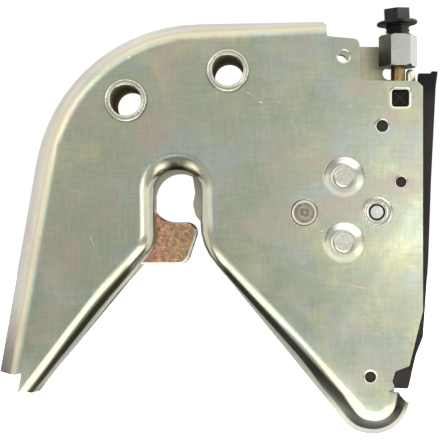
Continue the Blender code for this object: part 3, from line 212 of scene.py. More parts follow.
# %% [markdown]
# ## Rolling grain
# Sheet steel keeps the direction in which it was rolled, and handling adds a faint weave of fine lines
# both ways. A noise that is squeezed along one axis gives such lines. The group takes how far the
# coordinates are stretched along each axis, so the same group can lay lines up, across or round.

# %% Group: rolling grain
grain, takes, gives = new_group("rolling_grain", [
    (VECTOR, "Stretch", (900.0, 900.0, 60.0)), (FLOAT, "Contrast", 1.0),
], [(FLOAT, "Grain", None)])
place = put(grain, "ShaderNodeTexCoord").outputs["Object"]
stretched = put(grain, "ShaderNodeVectorMath", {0: place, 1: takes.outputs["Stretch"]}, operation="MULTIPLY")
noise = put(grain, "ShaderNodeTexNoise", {"Vector": stretched.outputs[0], "Scale": 1.0, "Detail": 3.0,
                                          "Roughness": 0.6})
centred = calculate(grain, "SUBTRACT", noise.outputs[0], 0.5)
scaled = calculate(grain, "MULTIPLY", centred, takes.outputs["Contrast"])
grain.links.new(calculate(grain, "ADD", scaled, 0.5, clamp=True), gives.inputs["Grain"])
print("group", grain.name, "with", len(grain.nodes), "nodes")

# %% [markdown]
# ## Hairline scratches
# Parts that lie in a box with others come out with hairlines. Only the crests of a long, thin noise
# are kept, and a second, broad noise leaves most of the surface bare, so the lines come in patches.

# %% Group: hairline scratches
hairlines, takes, gives = new_group("hairlines", [
    (FLOAT, "Turn", 0.0), (FLOAT, "Amount", 0.5), (VECTOR, "Stretch", (1400.0, 30.0, 40.0)),
], [(FLOAT, "Mask", None)])
place = put(hairlines, "ShaderNodeTexCoord").outputs["Object"]
turned_place = put(hairlines, "ShaderNodeVectorRotate", {"Vector": place, "Angle": takes.outputs["Turn"]},
                   rotation_type="Y_AXIS")
thin = put(hairlines, "ShaderNodeVectorMath", {0: turned_place.outputs[0], 1: takes.outputs["Stretch"]},
           operation="MULTIPLY")
line = put(hairlines, "ShaderNodeTexNoise", {"Vector": thin.outputs[0], "Scale": 1.0, "Detail": 1.0})
crest = remap(hairlines, line.outputs[0], 0.70, 0.76)
patch = put(hairlines, "ShaderNodeTexNoise", {"Vector": turned_place.outputs[0], "Scale": 45.0,
                                              "Detail": 2.0})
bare = remap(hairlines, patch.outputs[0], 0.48, 0.62)
kept = calculate(hairlines, "MULTIPLY", crest, bare)
hairlines.links.new(calculate(hairlines, "MULTIPLY", kept, takes.outputs["Amount"]), gives.inputs["Mask"])
print("group", hairlines.name, "with", len(hairlines.nodes), "nodes")

# %% [markdown]
# ## One deeper scratch
# A few scratches are deep enough to be seen one by one. Each is a short line: the group measures how
# far a point lies from the line between two ends and gives a mask that fades at the line's width.
# Textures could hold them too, but a line given by its two ends stays sharp at any size.

# %% Group: one scratch
scratch, takes, gives = new_group("one_scratch", [
    (VECTOR, "From", (0.0, 0.0, 0.0)), (VECTOR, "To", (0.01, 0.0, 0.0)), (FLOAT, "Width", 0.0003),
], [(FLOAT, "Mask", None)])
place = put(scratch, "ShaderNodeTexCoord").outputs["Object"]
wobble = put(scratch, "ShaderNodeTexNoise", {"Vector": place, "Scale": 400.0, "Detail": 1.0})
bend = put(scratch, "ShaderNodeVectorMath", {0: wobble.outputs[1], 1: (0.0006, 0.0006, 0.0006)},
           operation="MULTIPLY")
place = put(scratch, "ShaderNodeVectorMath", {0: place, 1: bend.outputs[0]}, operation="ADD").outputs[0]
reach = put(scratch, "ShaderNodeVectorMath", {0: place, 1: takes.outputs["From"]}, operation="SUBTRACT")
whole = put(scratch, "ShaderNodeVectorMath", {0: takes.outputs["To"], 1: takes.outputs["From"]},
            operation="SUBTRACT")
along = put(scratch, "ShaderNodeVectorMath", {0: reach.outputs[0], 1: whole.outputs[0]},
            operation="DOT_PRODUCT")
square = put(scratch, "ShaderNodeVectorMath", {0: whole.outputs[0], 1: whole.outputs[0]},
             operation="DOT_PRODUCT")
part_way = calculate(scratch, "DIVIDE", along.outputs["Value"], square.outputs["Value"], clamp=True)
nearest = put(scratch, "ShaderNodeVectorMath", {0: whole.outputs[0], "Scale": part_way}, operation="SCALE")
away = put(scratch, "ShaderNodeVectorMath", {0: reach.outputs[0], 1: nearest.outputs[0]},
           operation="DISTANCE")
nearness = calculate(scratch, "DIVIDE", away.outputs["Value"], takes.outputs["Width"])
scratch.links.new(remap(scratch, nearness, 1.0, 0.2), gives.inputs["Mask"])
print("group", scratch.name, "with", len(scratch.nodes), "nodes")

# %% [markdown]
# ## A dished hole
# The holes of the front plate were pierced from the front, which draws the sheet in round each hole.
# The dish is too shallow to be worth modelling, but it catches a ring of light. The group gives the
# depth of the dish from the distance to the hole's centre, for use as the height of a Bump node, and
# its Ring, one less that depth, is the mask of a painted highlight round the hole. A half side above
# zero makes the hole square: the distance then starts at the sides of a square.

# %% Group: dished hole
dish, takes, gives = new_group("dished_hole", [
    (VECTOR, "Centre", (0.0, 0.0, 0.0)), (FLOAT, "Half Side", 0.0), (FLOAT, "Inner", 0.003),
    (FLOAT, "Outer", 0.005),
], [(FLOAT, "Height", None), (FLOAT, "Ring", None)])
place = put(dish, "ShaderNodeTexCoord").outputs["Object"]
aside = put(dish, "ShaderNodeVectorMath", {0: place, 1: takes.outputs["Centre"]}, operation="SUBTRACT")
aside = put(dish, "ShaderNodeVectorMath", {0: aside.outputs[0]}, operation="ABSOLUTE")
sides = put(dish, "ShaderNodeCombineXYZ", {0: takes.outputs["Half Side"], 2: takes.outputs["Half Side"]})
aside = put(dish, "ShaderNodeVectorMath", {0: aside.outputs[0], 1: sides.outputs[0]}, operation="SUBTRACT")
aside = put(dish, "ShaderNodeVectorMath", {0: aside.outputs[0], 1: (0.0, 0.0, 0.0)}, operation="MAXIMUM")
flat = put(dish, "ShaderNodeVectorMath", {0: aside.outputs[0], 1: (1.0, 0.0, 1.0)}, operation="MULTIPLY")
away = put(dish, "ShaderNodeVectorMath", {0: flat.outputs[0]}, operation="LENGTH")
height = put(dish, "ShaderNodeMapRange", {0: away.outputs["Value"], 1: takes.outputs["Inner"],
                                          2: takes.outputs["Outer"]}, interpolation_type="SMOOTHERSTEP")
dish.links.new(height.outputs[0], gives.inputs["Height"])
dish.links.new(calculate(dish, "SUBTRACT", 1.0, height.outputs[0]), gives.inputs["Ring"])
print("group", dish.name, "with", len(dish.nodes), "nodes")

# %% [markdown]
# ## Turned rings
# A lathe tool or a riveting punch leaves rings round its axis. The distance to the axis is turned into
# a wave, and a little noise keeps the rings from being perfect. The wave serves as the height of a Bump
# node, and a weaker part of it as a change of colour.

# %% Group: turned rings
turning, takes, gives = new_group("turned_rings", [
    (VECTOR, "Centre", (0.0, 0.0, 0.0)), (FLOAT, "Pitch", 0.0005),
], [(FLOAT, "Height", None)])
place = put(turning, "ShaderNodeTexCoord").outputs["Object"]
flat = put(turning, "ShaderNodeVectorMath", {0: place, 1: (1.0, 0.0, 1.0)}, operation="MULTIPLY")
away = put(turning, "ShaderNodeVectorMath", {0: flat.outputs[0], 1: takes.outputs["Centre"]},
           operation="DISTANCE")
shaken = put(turning, "ShaderNodeTexNoise", {"Vector": place, "Scale": 700.0, "Detail": 2.0})
turns = calculate(turning, "DIVIDE", away.outputs["Value"], takes.outputs["Pitch"])
turns = calculate(turning, "ADD", turns, calculate(turning, "MULTIPLY", shaken.outputs[0], 0.5))
wave = calculate(turning, "SINE", calculate(turning, "MULTIPLY", turns, 2.0 * pi))
turning.links.new(calculate(turning, "ADD", calculate(turning, "MULTIPLY", wave, 0.5), 0.5),
                  gives.inputs["Height"])
print("group", turning.name, "with", len(turning.nodes), "nodes")

# %% [markdown]
# ## Worn edges
# Plating rubs off where two faces meet, and bare metal shines there. A Bevel node rounds the normal
# near an edge. Where the rounded normal differs from the true one there is an edge, so the difference
# of the two is a mask that follows every edge without being drawn.

# %% Group: worn edges
edge_wear, takes, gives = new_group("edge_wear", [
    (FLOAT, "Radius", 0.0005), (FLOAT, "Patchiness", 0.5),
], [(FLOAT, "Mask", None)])
rounded_normal = put(edge_wear, "ShaderNodeBevel", {"Radius": takes.outputs["Radius"]}, samples=4)
true_normal = put(edge_wear, "ShaderNodeNewGeometry").outputs["Normal"]
same = put(edge_wear, "ShaderNodeVectorMath", {0: rounded_normal.outputs[0], 1: true_normal},
           operation="DOT_PRODUCT")
edge = remap(edge_wear, same.outputs["Value"], 0.98, 0.80)
place = put(edge_wear, "ShaderNodeTexCoord").outputs["Object"]
broken = put(edge_wear, "ShaderNodeTexNoise", {"Vector": place, "Scale": 260.0, "Detail": 3.0})
gaps = remap(edge_wear, broken.outputs[0], 0.35, 0.60)
softened = calculate(edge_wear, "MULTIPLY", calculate(edge_wear, "SUBTRACT", 1.0, gaps),
                     takes.outputs["Patchiness"])
kept = calculate(edge_wear, "SUBTRACT", 1.0, softened)
edge_wear.links.new(calculate(edge_wear, "MULTIPLY", edge, kept), gives.inputs["Mask"])
print("group", edge_wear.name, "with", len(edge_wear.nodes), "nodes")

# %% [markdown]
# ## Grime and painted shade in corners
# Oil and dust stay where fingers and cloths don't reach, and shade falls in the same corners. Ambient
# occlusion measures how shut in a point is, and the group darkens such points, part grime and part
# painted shade. A noise breaks the darkening up, so it isn't an even shadow.

# %% Group: grime and painted shade
grime_shade_group, takes, gives = new_group("corner_grime_and_shade", [(FLOAT, "Reach", 0.003), (FLOAT, "Amount", 0.6)],
                                [(FLOAT, "Mask", None)])
# The darkening in shut-in points is part grime and part painted shade.
shut_in = put(grime_shade_group, "ShaderNodeAmbientOcclusion", {"Distance": takes.outputs["Reach"]}, samples=6)
corner = remap(grime_shade_group, shut_in.outputs["AO"], 0.85, 0.35)
place = put(grime_shade_group, "ShaderNodeTexCoord").outputs["Object"]
patches = put(grime_shade_group, "ShaderNodeTexNoise", {"Vector": place, "Scale": 180.0, "Detail": 3.0})
spread = remap(grime_shade_group, patches.outputs[0], 0.25, 0.65, 0.35, 1.0)
grime_shade_mask = calculate(grime_shade_group, "MULTIPLY", corner, spread)
grime_shade_group.links.new(calculate(grime_shade_group, "MULTIPLY", grime_shade_mask, takes.outputs["Amount"]), gives.inputs["Mask"])
print("group", grime_shade_group.name, "with", len(grime_shade_group.nodes), "nodes")

# %% [markdown]
# ## Plated steel
# Every plated piece has the same recipe with its own numbers: clouds for the colour, grain in colour
# and roughness, hairlines and worn edges that lighten it, and grime with painted shade in its corners
# that darkens it. A function holds the recipe, so each call below reads like a line of a paint list.
# The plain numbers, such as Metallic, are set on the shader's own sockets.

# %% Recipe: plated steel
BARE_STEEL = (0.66, 0.65, 0.60, 1.0)
# Colour of the darkening in corners: old oil and painted shade.
OIL_AND_SHADE = (0.035, 0.028, 0.018, 1.0)


def new_material(name):
    """A material with only its Principled BSDF and its output."""
    made = bpy.data.materials.new(name)
    made.use_nodes = True
    return made, made.node_tree, made.node_tree.nodes["Principled BSDF"]


def plated(name, base, rose, blue, gold, scale=28.0, strength=0.8, rough=0.36, stretch=(900.0, 900.0, 70.0),
           grain_depth=0.25, grit=0.02, wear=0.0006, grime_shade=0.5, grime_shade_reach=0.003, shift=0.0, hair=0.5):
    """Zinc-plated steel with clouds, grain, hairlines, worn edges, and grime with painted shade in corners.
    """
    made, tree, shader = new_material(name)
    tint = use(tree, clouds, {"Scale": scale, "Strength": strength, "Base": (*base, 1.0),
                              "Rose": (*rose, 1.0), "Blue": (*blue, 1.0), "Gold": (*gold, 1.0),
                              "Shift": shift})
    lines = use(tree, grain, {"Stretch": stretch, "Contrast": 1.0})["Grain"]
    across = use(tree, grain, {"Stretch": (stretch[2], stretch[1], stretch[0]), "Contrast": 1.0})["Grain"]
    lines = calculate(tree, "MULTIPLY", calculate(tree, "ADD", lines, across), 0.5)
    shade = remap(tree, lines, 0.2, 0.8, 1.0 - grain_depth, 1.0 + grain_depth)
    brightened = put(tree, "ShaderNodeVectorMath", {0: tint["Colour"], "Scale": shade}, operation="SCALE")
    hairs = use(tree, hairlines, {"Turn": 0.35 + shift, "Amount": hair})["Mask"]
    colour = mix_colours(tree, hairs, brightened.outputs[0], BARE_STEEL)
    worn = use(tree, edge_wear, {"Radius": wear, "Patchiness": 0.6})["Mask"]
    colour = mix_colours(tree, worn, colour, BARE_STEEL)
    # Grime and painted shade darken corners and recesses.
    grime_shade_mask = use(tree, grime_shade_group, {"Reach": grime_shade_reach, "Amount": grime_shade})["Mask"]
    colour = mix_colours(tree, grime_shade_mask, colour, OIL_AND_SHADE)
    tree.links.new(colour, shader.inputs["Base Color"])
    uneven = remap(tree, tint["Cloud"], 0.3, 0.7, rough - 0.05, rough + 0.07)
    duller = calculate(tree, "MULTIPLY_ADD", grime_shade_mask, 0.3)
    duller.node.inputs[2].default_value = 0.0
    tree.links.new(calculate(tree, "ADD", uneven, duller), shader.inputs["Roughness"])
    shader.inputs["Metallic"].default_value = 1.0
    pores = put(tree, "ShaderNodeTexNoise", {"Vector": put(tree, "ShaderNodeTexCoord").outputs["Object"],
                                             "Scale": 900.0, "Detail": 3.0})
    relief = calculate(tree, "ADD", calculate(tree, "MULTIPLY", lines, 0.6), pores.outputs[0])
    bump = put(tree, "ShaderNodeBump", {"Strength": 1.0, "Distance": grit / 1000.0, "Height": relief})
    tree.links.new(bump.outputs[0], shader.inputs["Normal"])
    return made


def colour_of(material):
    """The socket that feeds a material's Base Color, for more layers on top of it."""
    return material.node_tree.nodes["Principled BSDF"].inputs["Base Color"].links[0].from_socket


def recolour(material, colour):
    """Puts a socket in the place of the one that fed Base Color."""
    tree = material.node_tree
    tree.links.new(colour, tree.nodes["Principled BSDF"].inputs["Base Color"])


def ringed(material, centre, pitch, depth, contrast):
    """Adds turned rings round a centre (x, z) to relief and colour."""
    tree = material.node_tree
    wave = use(tree, turning, {"Centre": (centre[0], 0.0, centre[1]), "Pitch": pitch})["Height"]
    shade = remap(tree, wave, 0.0, 1.0, 1.0 - contrast, 1.0 + contrast)
    colour = put(tree, "ShaderNodeVectorMath", {0: colour_of(material), "Scale": shade}, operation="SCALE")
    recolour(material, colour.outputs[0])
    normal = tree.nodes["Principled BSDF"].inputs["Normal"]
    bump = put(tree, "ShaderNodeBump", {"Strength": 1.0, "Distance": depth / 1000.0, "Height": wave,
                                        "Normal": normal.links[0].from_socket})
    tree.links.new(bump.outputs[0], normal)


def facing_of(tree):
    """The parts of the surface's own normal."""
    return put(tree, "ShaderNodeSeparateXYZ", {0: put(tree, "ShaderNodeTexCoord").outputs["Normal"]}).outputs


def spot_of(tree):
    """The parts of the place on the object, in metres."""
    return put(tree, "ShaderNodeSeparateXYZ", {0: put(tree, "ShaderNodeTexCoord").outputs["Object"]}).outputs


def both(tree, first, second):
    """A mask where both masks hold."""
    return calculate(tree, "MULTIPLY", first, second)


def size_of(tree, value):
    """The value without its sign."""
    return calculate(tree, "ABSOLUTE", value)


OLIVE = (0.42, 0.46, 0.34)
ROSE = (0.48, 0.415, 0.345)
SLATE = (0.43, 0.48, 0.43)
STRAW = (0.54, 0.53, 0.35)
print("recipe for plated steel ready")

# %% [markdown]
# ## Softening the CAD pieces
# CAD solids have razor edges and flat facets. Real edges are always a little round, and that thin
# round strip is what catches the light. The CAD meshes themselves stay untouched. Each piece that
# shows is copied, its split corners are merged, its coplanar triangles become one face, and a Bevel
# modifier rounds the edges. Weighted normals then keep the big faces flat while the bends shade
# smoothly. The copy replaces the CAD node and moves with the same body.

# %% Helper for softened copies
BODY_OF = {node: body for body, nodes in frame["record"]["behaviour"]["bodies"].items() for node in nodes}


def softened(node, material, width, segments=2, smooth=34.0, edge=42.0, reshape=None, between=None):
    """A copy of a CAD node with round edges, that stands for the node; reshape may shift its corners.
    between names the two bodies that hold a spring's ends, and where each end is."""
    mesh = bpy.data.meshes.new(node + "_finished")
    work = bmesh.new()
    work.from_mesh(frame["nodes"][node].data)
    bmesh.ops.remove_doubles(work, verts=work.verts, dist=1e-6)
    if reshape:
        for corner in work.verts:
            corner.co += reshape(corner.co)
    bmesh.ops.dissolve_limit(work, angle_limit=radians(0.8), verts=work.verts, edges=work.edges)
    work.to_mesh(mesh)
    work.free()
    for name in [layer.name for layer in mesh.attributes if layer.name == "custom_normal"]:
        mesh.attributes.remove(mesh.attributes[name])
    mesh.polygons.foreach_set("use_smooth", [True] * len(mesh.polygons))
    mesh.set_sharp_from_angle(angle=radians(smooth))
    piece = bpy.data.objects.new(node + "_finished", mesh)
    bpy.context.scene.collection.objects.link(piece)
    mesh.materials.clear()
    mesh.materials.append(material)
    if width:
        rounding = piece.modifiers.new("round_edges", "BEVEL")
        rounding.width = width
        rounding.segments = segments
        rounding.limit_method = "ANGLE"
        rounding.angle_limit = radians(edge)
        rounding.harden_normals = False
    even = piece.modifiers.new("even_shading", "WEIGHTED_NORMAL")
    even.keep_sharp = True
    even.weight = 60
    if between:
        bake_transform(piece, *between)
    else:
        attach(piece, BODY_OF[node])
    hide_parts(node)
    print(f"{piece.name}: {len(mesh.polygons)} faces")
    return piece

# %% [markdown]
# ## Front plate
# The front plate is the lock's face: a sheet 2.5 mm thick, drawn into a shallow tray. It shows the
# rolling grain best, and it carries the scratches that can be told apart. The holes along the right
# edge are dished, and so each gets a ring of height in the Bump and a painted highlight ring. The two
# dimples round the rivets get a painted highlight on their slopes. The drawn rim that faces up and left
# is painted warmer as a painted reflection, and greyer deeper in its wall as painted shade. The steep
# flange round the notch and the top of the slot are painted dark as painted shade, and the flange's lip
# is painted light again as a painted highlight. In the slot the bends and side walls are painted light
# as painted highlights, and the ends of the side walls dark as painted shade. All of this is laid over
# the plated recipe. Two places that no straight bend gives are moved by a hair: the top of the slot
# leans, and the left flange is trimmed at its end.

# %% Front plate
RIM_REFLECTION_CREAM = (0.62, 0.54, 0.38, 1.0)
RIM_REFLECTION_SHADED = (0.45, 0.42, 0.32, 1.0)
WALL_SHADE = (0.23, 0.22, 0.155, 1.0)
SLOT_SHADE = (0.060, 0.057, 0.036, 1.0)
FOOT_SHADE = (0.014, 0.013, 0.009, 1.0)
FOOT_SHADE_OLIVE = (0.085, 0.074, 0.045, 1.0)
LIP_HIGHLIGHT = (0.62, 0.60, 0.52, 1.0)
SIDE_BEND_HIGHLIGHT = (0.60, 0.58, 0.44, 1.0)
SIDE_WALL_HIGHLIGHT = (0.76, 0.76, 0.62, 1.0)
SIDE_END_SHADE = (0.07, 0.065, 0.045, 1.0)
DIMPLE_HEIGHTS = (-0.0448, -0.0769)
SCRATCHES = (
    (128.2, 56.9, 130.0, 56.4, 0.9), (246.6, 91.7, 255.0, 95.2, 0.5), (260.4, 101.6, 262.4, 101.4, 0.7),
    (264.6, 95.4, 265.6, 95.0, 0.5), (271.8, 101.2, 299.7, 102.4, 0.35), (308.2, 103.0, 319.7, 103.6, 0.4),
    (350.6, 104.8, 379.7, 106.3, 0.35), (90.9, 234.9, 95.4, 249.0, 0.45), (95.4, 249.0, 103.1, 263.7, 0.35),
    (225.6, 200.5, 238.2, 201.5, 0.35), (347.8, 284.5, 367.7, 287.8, 0.45), (250.0, 224.0, 266.6, 225.6, 0.3),
    (264.1, 275.4, 265.8, 283.6, 0.35), (321.6, 229.8, 322.8, 230.2, 0.7), (391.0, 341.7, 409.0, 341.7, 0.3),
    (262.1, 168.4, 290.0, 166.6, 0.3), (120.3, 227.8, 127.3, 216.6, 0.3),
)
DISHED = (
    (0.1007, -0.0198, 0.0, 0.0030, 0.0040), (0.1099, -0.0472, 0.0, 0.0027, 0.0036),
    (0.0949, -0.1428, 0.0, 0.0028, 0.0038), (0.0981, -0.0620, 0.0, 0.0065, 0.0080),
    (0.0817, 0.0143, 0.0, 0.0029, 0.0038), (0.0625, -0.0623, 0.0, 0.0056, 0.0071),
    (0.1096, -0.0061, 0.0027, 0.0017, 0.0032),
)

plate_steel = plated("front_plate_steel", OLIVE, ROSE, SLATE, STRAW, scale=36.0, strength=1.0, rough=0.27,
                     stretch=(700.0, 700.0, 110.0), grain_depth=0.11, grit=0.008, wear=0.0005, grime_shade=0.55,
                     grime_shade_reach=0.008)
tree = plate_steel.node_tree
shader = tree.nodes["Principled BSDF"]
marks = None
for from_column, from_row, to_column, to_row, thick in SCRATCHES:
    from_x, from_z = on_plate(from_column, from_row)
    to_x, to_z = on_plate(to_column, to_row)
    mask = use(tree, scratch, {"From": (from_x, PLATE_Y, from_z), "To": (to_x, PLATE_Y, to_z),
                               "Width": thick / 1000.0})["Mask"]
    marks = mask if marks is None else calculate(tree, "MAXIMUM", marks, mask)
broken_up = put(tree, "ShaderNodeTexNoise", {"Vector": put(tree, "ShaderNodeTexCoord").outputs["Object"],
                                             "Scale": 500.0, "Detail": 2.0})
marks = calculate(tree, "MULTIPLY", marks, remap(tree, broken_up.outputs[0], 0.35, 0.6, 0.25, 1.0))
facing = facing_of(tree)
spot = spot_of(tree)
# Painted reflection: the rim that faces up and left, near the top and left edges, is painted cream, and
# greyer deeper in its wall as painted shade.
outward = calculate(tree, "MAXIMUM", facing["Z"], calculate(tree, "MULTIPLY", facing["X"], -1.0))
near_edge = calculate(tree, "MAXIMUM", remap(tree, spot["X"], -0.040, -0.050),
                      remap(tree, spot["Z"], 0.000, 0.012))
rim_reflection = both(tree, remap(tree, outward, 0.25, 0.70, 0.0, 0.85), remap(tree, facing["X"], 0.5, 0.3))
rim_reflection = both(tree, rim_reflection, near_edge)
rim_reflection_colour = mix_colours(tree, remap(tree, spot["Y"], -0.029, -0.012), RIM_REFLECTION_CREAM, RIM_REFLECTION_SHADED)
colour = mix_colours(tree, rim_reflection, colour_of(plate_steel), rim_reflection_colour)

# Painted shade: the steep flange walls round the notch and the top of the slot are painted dark, darkest on
# the wall under the foot and olive towards the foot's right end.
high = remap(tree, spot["Z"], -0.150, -0.040, 0.0, 0.22)
at_foot = both(tree, remap(tree, spot["X"], 0.050, 0.075), remap(tree, spot["Z"], -0.125, -0.150))
under_foot = both(tree, at_foot, remap(tree, spot["X"], 0.068, 0.090))
hangs = remap(tree, facing["Z"], -0.16, -0.34)
slot_top = both(tree, remap(tree, spot["Z"], -0.066, -0.054), remap(tree, facing["Z"], -0.16, -0.40))
slope = calculate(tree, "ADD", facing["Y"], high)
slope = calculate(tree, "SUBTRACT", slope, calculate(tree, "MULTIPLY", at_foot, 0.03))
slope = calculate(tree, "ADD", slope, calculate(tree, "MULTIPLY", slot_top, 0.12))
steep = both(tree, remap(tree, slope, -0.76, -0.56), hangs)
foot_wall = both(tree, remap(tree, spot["Y"], -0.0316, -0.0302), remap(tree, facing["Z"], -0.10, -0.30))
steep = calculate(tree, "MAXIMUM", steep, both(tree, foot_wall, under_foot))
near_lip = calculate(tree, "SUBTRACT", remap(tree, spot["X"], 0.0, 0.02, 0.0011, 0.0),
                     calculate(tree, "MULTIPLY", at_foot, 0.0022))
lip = remap(tree, calculate(tree, "ADD", spot["Y"], near_lip), -0.0261, -0.0253)
wall = both(tree, steep, calculate(tree, "SUBTRACT", 1.0, lip))
foot_shade_tint = mix_colours(tree, remap(tree, spot["X"], 0.098, 0.112), FOOT_SHADE, FOOT_SHADE_OLIVE)
shadow = mix_colours(tree, under_foot, WALL_SHADE, foot_shade_tint)
shadow = mix_colours(tree, slot_top, shadow, SLOT_SHADE)
colour = mix_colours(tree, calculate(tree, "MULTIPLY", wall, 0.96), colour, shadow)
# Painted highlight: the lip of the flange is painted light, and made less metallic.
lip_highlight_mask = both(tree, lip, hangs)
colour = mix_colours(tree, calculate(tree, "MULTIPLY", lip_highlight_mask, 0.8), colour, LIP_HIGHLIGHT)
# Painted highlights on the bends and side walls of the slot, with less metal on the walls, and painted shade
# at the walls' ends.
in_slot = both(tree, remap(tree, size_of(tree, spot["X"]), 0.026, 0.022),
               remap(tree, spot["Z"], -0.096, -0.086))
wall_highlight = both(tree, remap(tree, size_of(tree, facing["X"]), 0.62, 0.80), in_slot)
bend_highlight = both(tree, remap(tree, size_of(tree, facing["X"]), 0.10, 0.40), in_slot)
colour = mix_colours(tree, calculate(tree, "MULTIPLY", bend_highlight, 0.8), colour, SIDE_BEND_HIGHLIGHT)
colour = mix_colours(tree, wall_highlight, colour, SIDE_WALL_HIGHLIGHT)
end_shade = both(tree, wall_highlight, remap(tree, spot["Y"], -0.0280, -0.0270))
colour = mix_colours(tree, calculate(tree, "MULTIPLY", end_shade, 0.85), colour, SIDE_END_SHADE)
dull = calculate(tree, "MAXIMUM", calculate(tree, "MULTIPLY", lip_highlight_mask, 0.5),
                 calculate(tree, "MULTIPLY", wall_highlight, 0.7))
tree.links.new(calculate(tree, "SUBTRACT", 1.0, dull), shader.inputs["Metallic"])
# Painted highlight on the slopes of the two dimples, most where they face down.
for z in DIMPLE_HEIGHTS:
    dimple_highlight = use(tree, dish, {"Centre": (0.0820, 0.0, z), "Inner": 0.0080, "Outer": 0.0100})["Ring"]
    dimple_highlight = calculate(tree, "MULTIPLY", dimple_highlight, remap(tree, facing["Z"], 0.12, -0.12, 0.15, 0.7))
    colour = mix_colours(tree, dimple_highlight, colour, (0.84, 0.83, 0.74, 1.0))
# Painted highlight rings round the dished holes, on the front face.
hole_highlight = None
for x, z, half, inner, outer in DISHED:
    ring = use(tree, dish, {"Centre": (x, 0.0, z), "Half Side": half, "Inner": inner, "Outer": outer})["Ring"]
    hole_highlight = ring if hole_highlight is None else calculate(tree, "MAXIMUM", hole_highlight, ring)
on_face = remap(tree, facing["Y"], -0.80, -0.95)
hole_highlight = calculate(tree, "MULTIPLY", calculate(tree, "MULTIPLY", hole_highlight, on_face), 0.8)
colour = mix_colours(tree, hole_highlight, colour, (0.90, 0.88, 0.74, 1.0))
recolour(plate_steel, mix_colours(tree, marks, colour, (0.95, 0.93, 0.86, 1.0)))
relief = None
for x, z, half, inner, outer in DISHED:
    height = use(tree, dish, {"Centre": (x, 0.0, z), "Half Side": half, "Inner": inner,
                              "Outer": outer})["Height"]
    relief = height if relief is None else calculate(tree, "MULTIPLY", relief, height)
fine = shader.inputs["Normal"].links[0].from_node
for z in DIMPLE_HEIGHTS:
    height = use(tree, dish, {"Centre": (0.0820, 0.0, z), "Inner": 0.0086, "Outer": 0.0103})["Height"]
    relief = calculate(tree, "MULTIPLY", relief, height)
dished = put(tree, "ShaderNodeBump", {"Strength": 1.0, "Distance": 0.0007, "Height": relief,
                                      "Normal": fine.outputs[0]})
tree.links.new(dished.outputs[0], shader.inputs["Normal"])


def drawn_edge(place):
    """Shift of a corner of the front plate: a leaning slot top, and the trimmed end of the left flange."""
    depth = place.y - PLATE_Y
    if abs(place.x) < 0.0195 and -0.0530 < place.z < -0.0300:
        lean = min(max((depth - 0.001) / 0.006, 0.0), 1.0) * max((place.z + 0.0530) / 0.0150, 0.0)
        return Vector((0.0, 0.0, -0.0024 * min(lean, 1.0)))
    from_tip = Vector((place.x + 0.0780, place.z + 0.1468))
    along = from_tip.dot(Vector((0.643, 0.766)))
    out = from_tip.dot(Vector((0.766, -0.643)))
    if abs(along) < 0.003 and -0.001 < out < 0.0065:
        return Vector((0.0, 0.0, -0.0034 * min(1.0 - out / 0.0065, 1.0)))
    if abs(along) < 0.003 and 0.0085 < out < 0.016:
        share = min((out - 0.0085) / 0.003, 1.0) ** 2
        return Vector((0.0044 * share, 0.0, 0.0088 * share))
    return Vector()


softened("front_plate", plate_steel, 0.00030, reshape=drawn_edge)

# %% [markdown]
# ## Rear plate
# The flat plate behind is the same steel, and its edge shows inside the slot and round the fitting. It
# has no drawn bends, so only the rounding of its edges differs. Where its front face shows in the slot
# it is painted lighter as a painted highlight, as in the photo.

# %% Rear plate
rear_steel = plated("rear_plate_steel", (0.37, 0.35, 0.27), ROSE, SLATE, STRAW, scale=22.0, strength=0.7,
                    rough=0.38, grain_depth=0.16, grit=0.014, grime_shade=0.4, shift=2.3)
tree = rear_steel.node_tree
spot = spot_of(tree)
# Painted highlight: the rear plate's face towards the front, inside the slot, is painted lighter.
slot_height = both(tree, remap(tree, spot["Z"], -0.030, -0.036), remap(tree, spot["Z"], -0.110, -0.100))
in_slot = both(tree, remap(tree, size_of(tree, spot["X"]), 0.030, 0.024), slot_height)
towards_front = remap(tree, facing_of(tree)["Y"], -0.3, -0.6, 0.0, 0.85)
slot_highlight = both(tree, in_slot, towards_front)
recolour(rear_steel, mix_colours(tree, slot_highlight, colour_of(rear_steel), (0.90, 0.93, 0.76, 1.0)))
softened("rear_plate", rear_steel, 0.00030)

# %% [markdown]
# ## Sleeves, rivets and spacers
# These are turned or upset from bar. The riveting tool leaves their rims bright, with rings that run
# round the axis. The grain is stretched evenly here, because a round piece has no rolling direction.
# The bores of the sleeves are brown and dull in the photo, so they get painted shade: the metal fades out
# inside them and the colour turns dark brown.

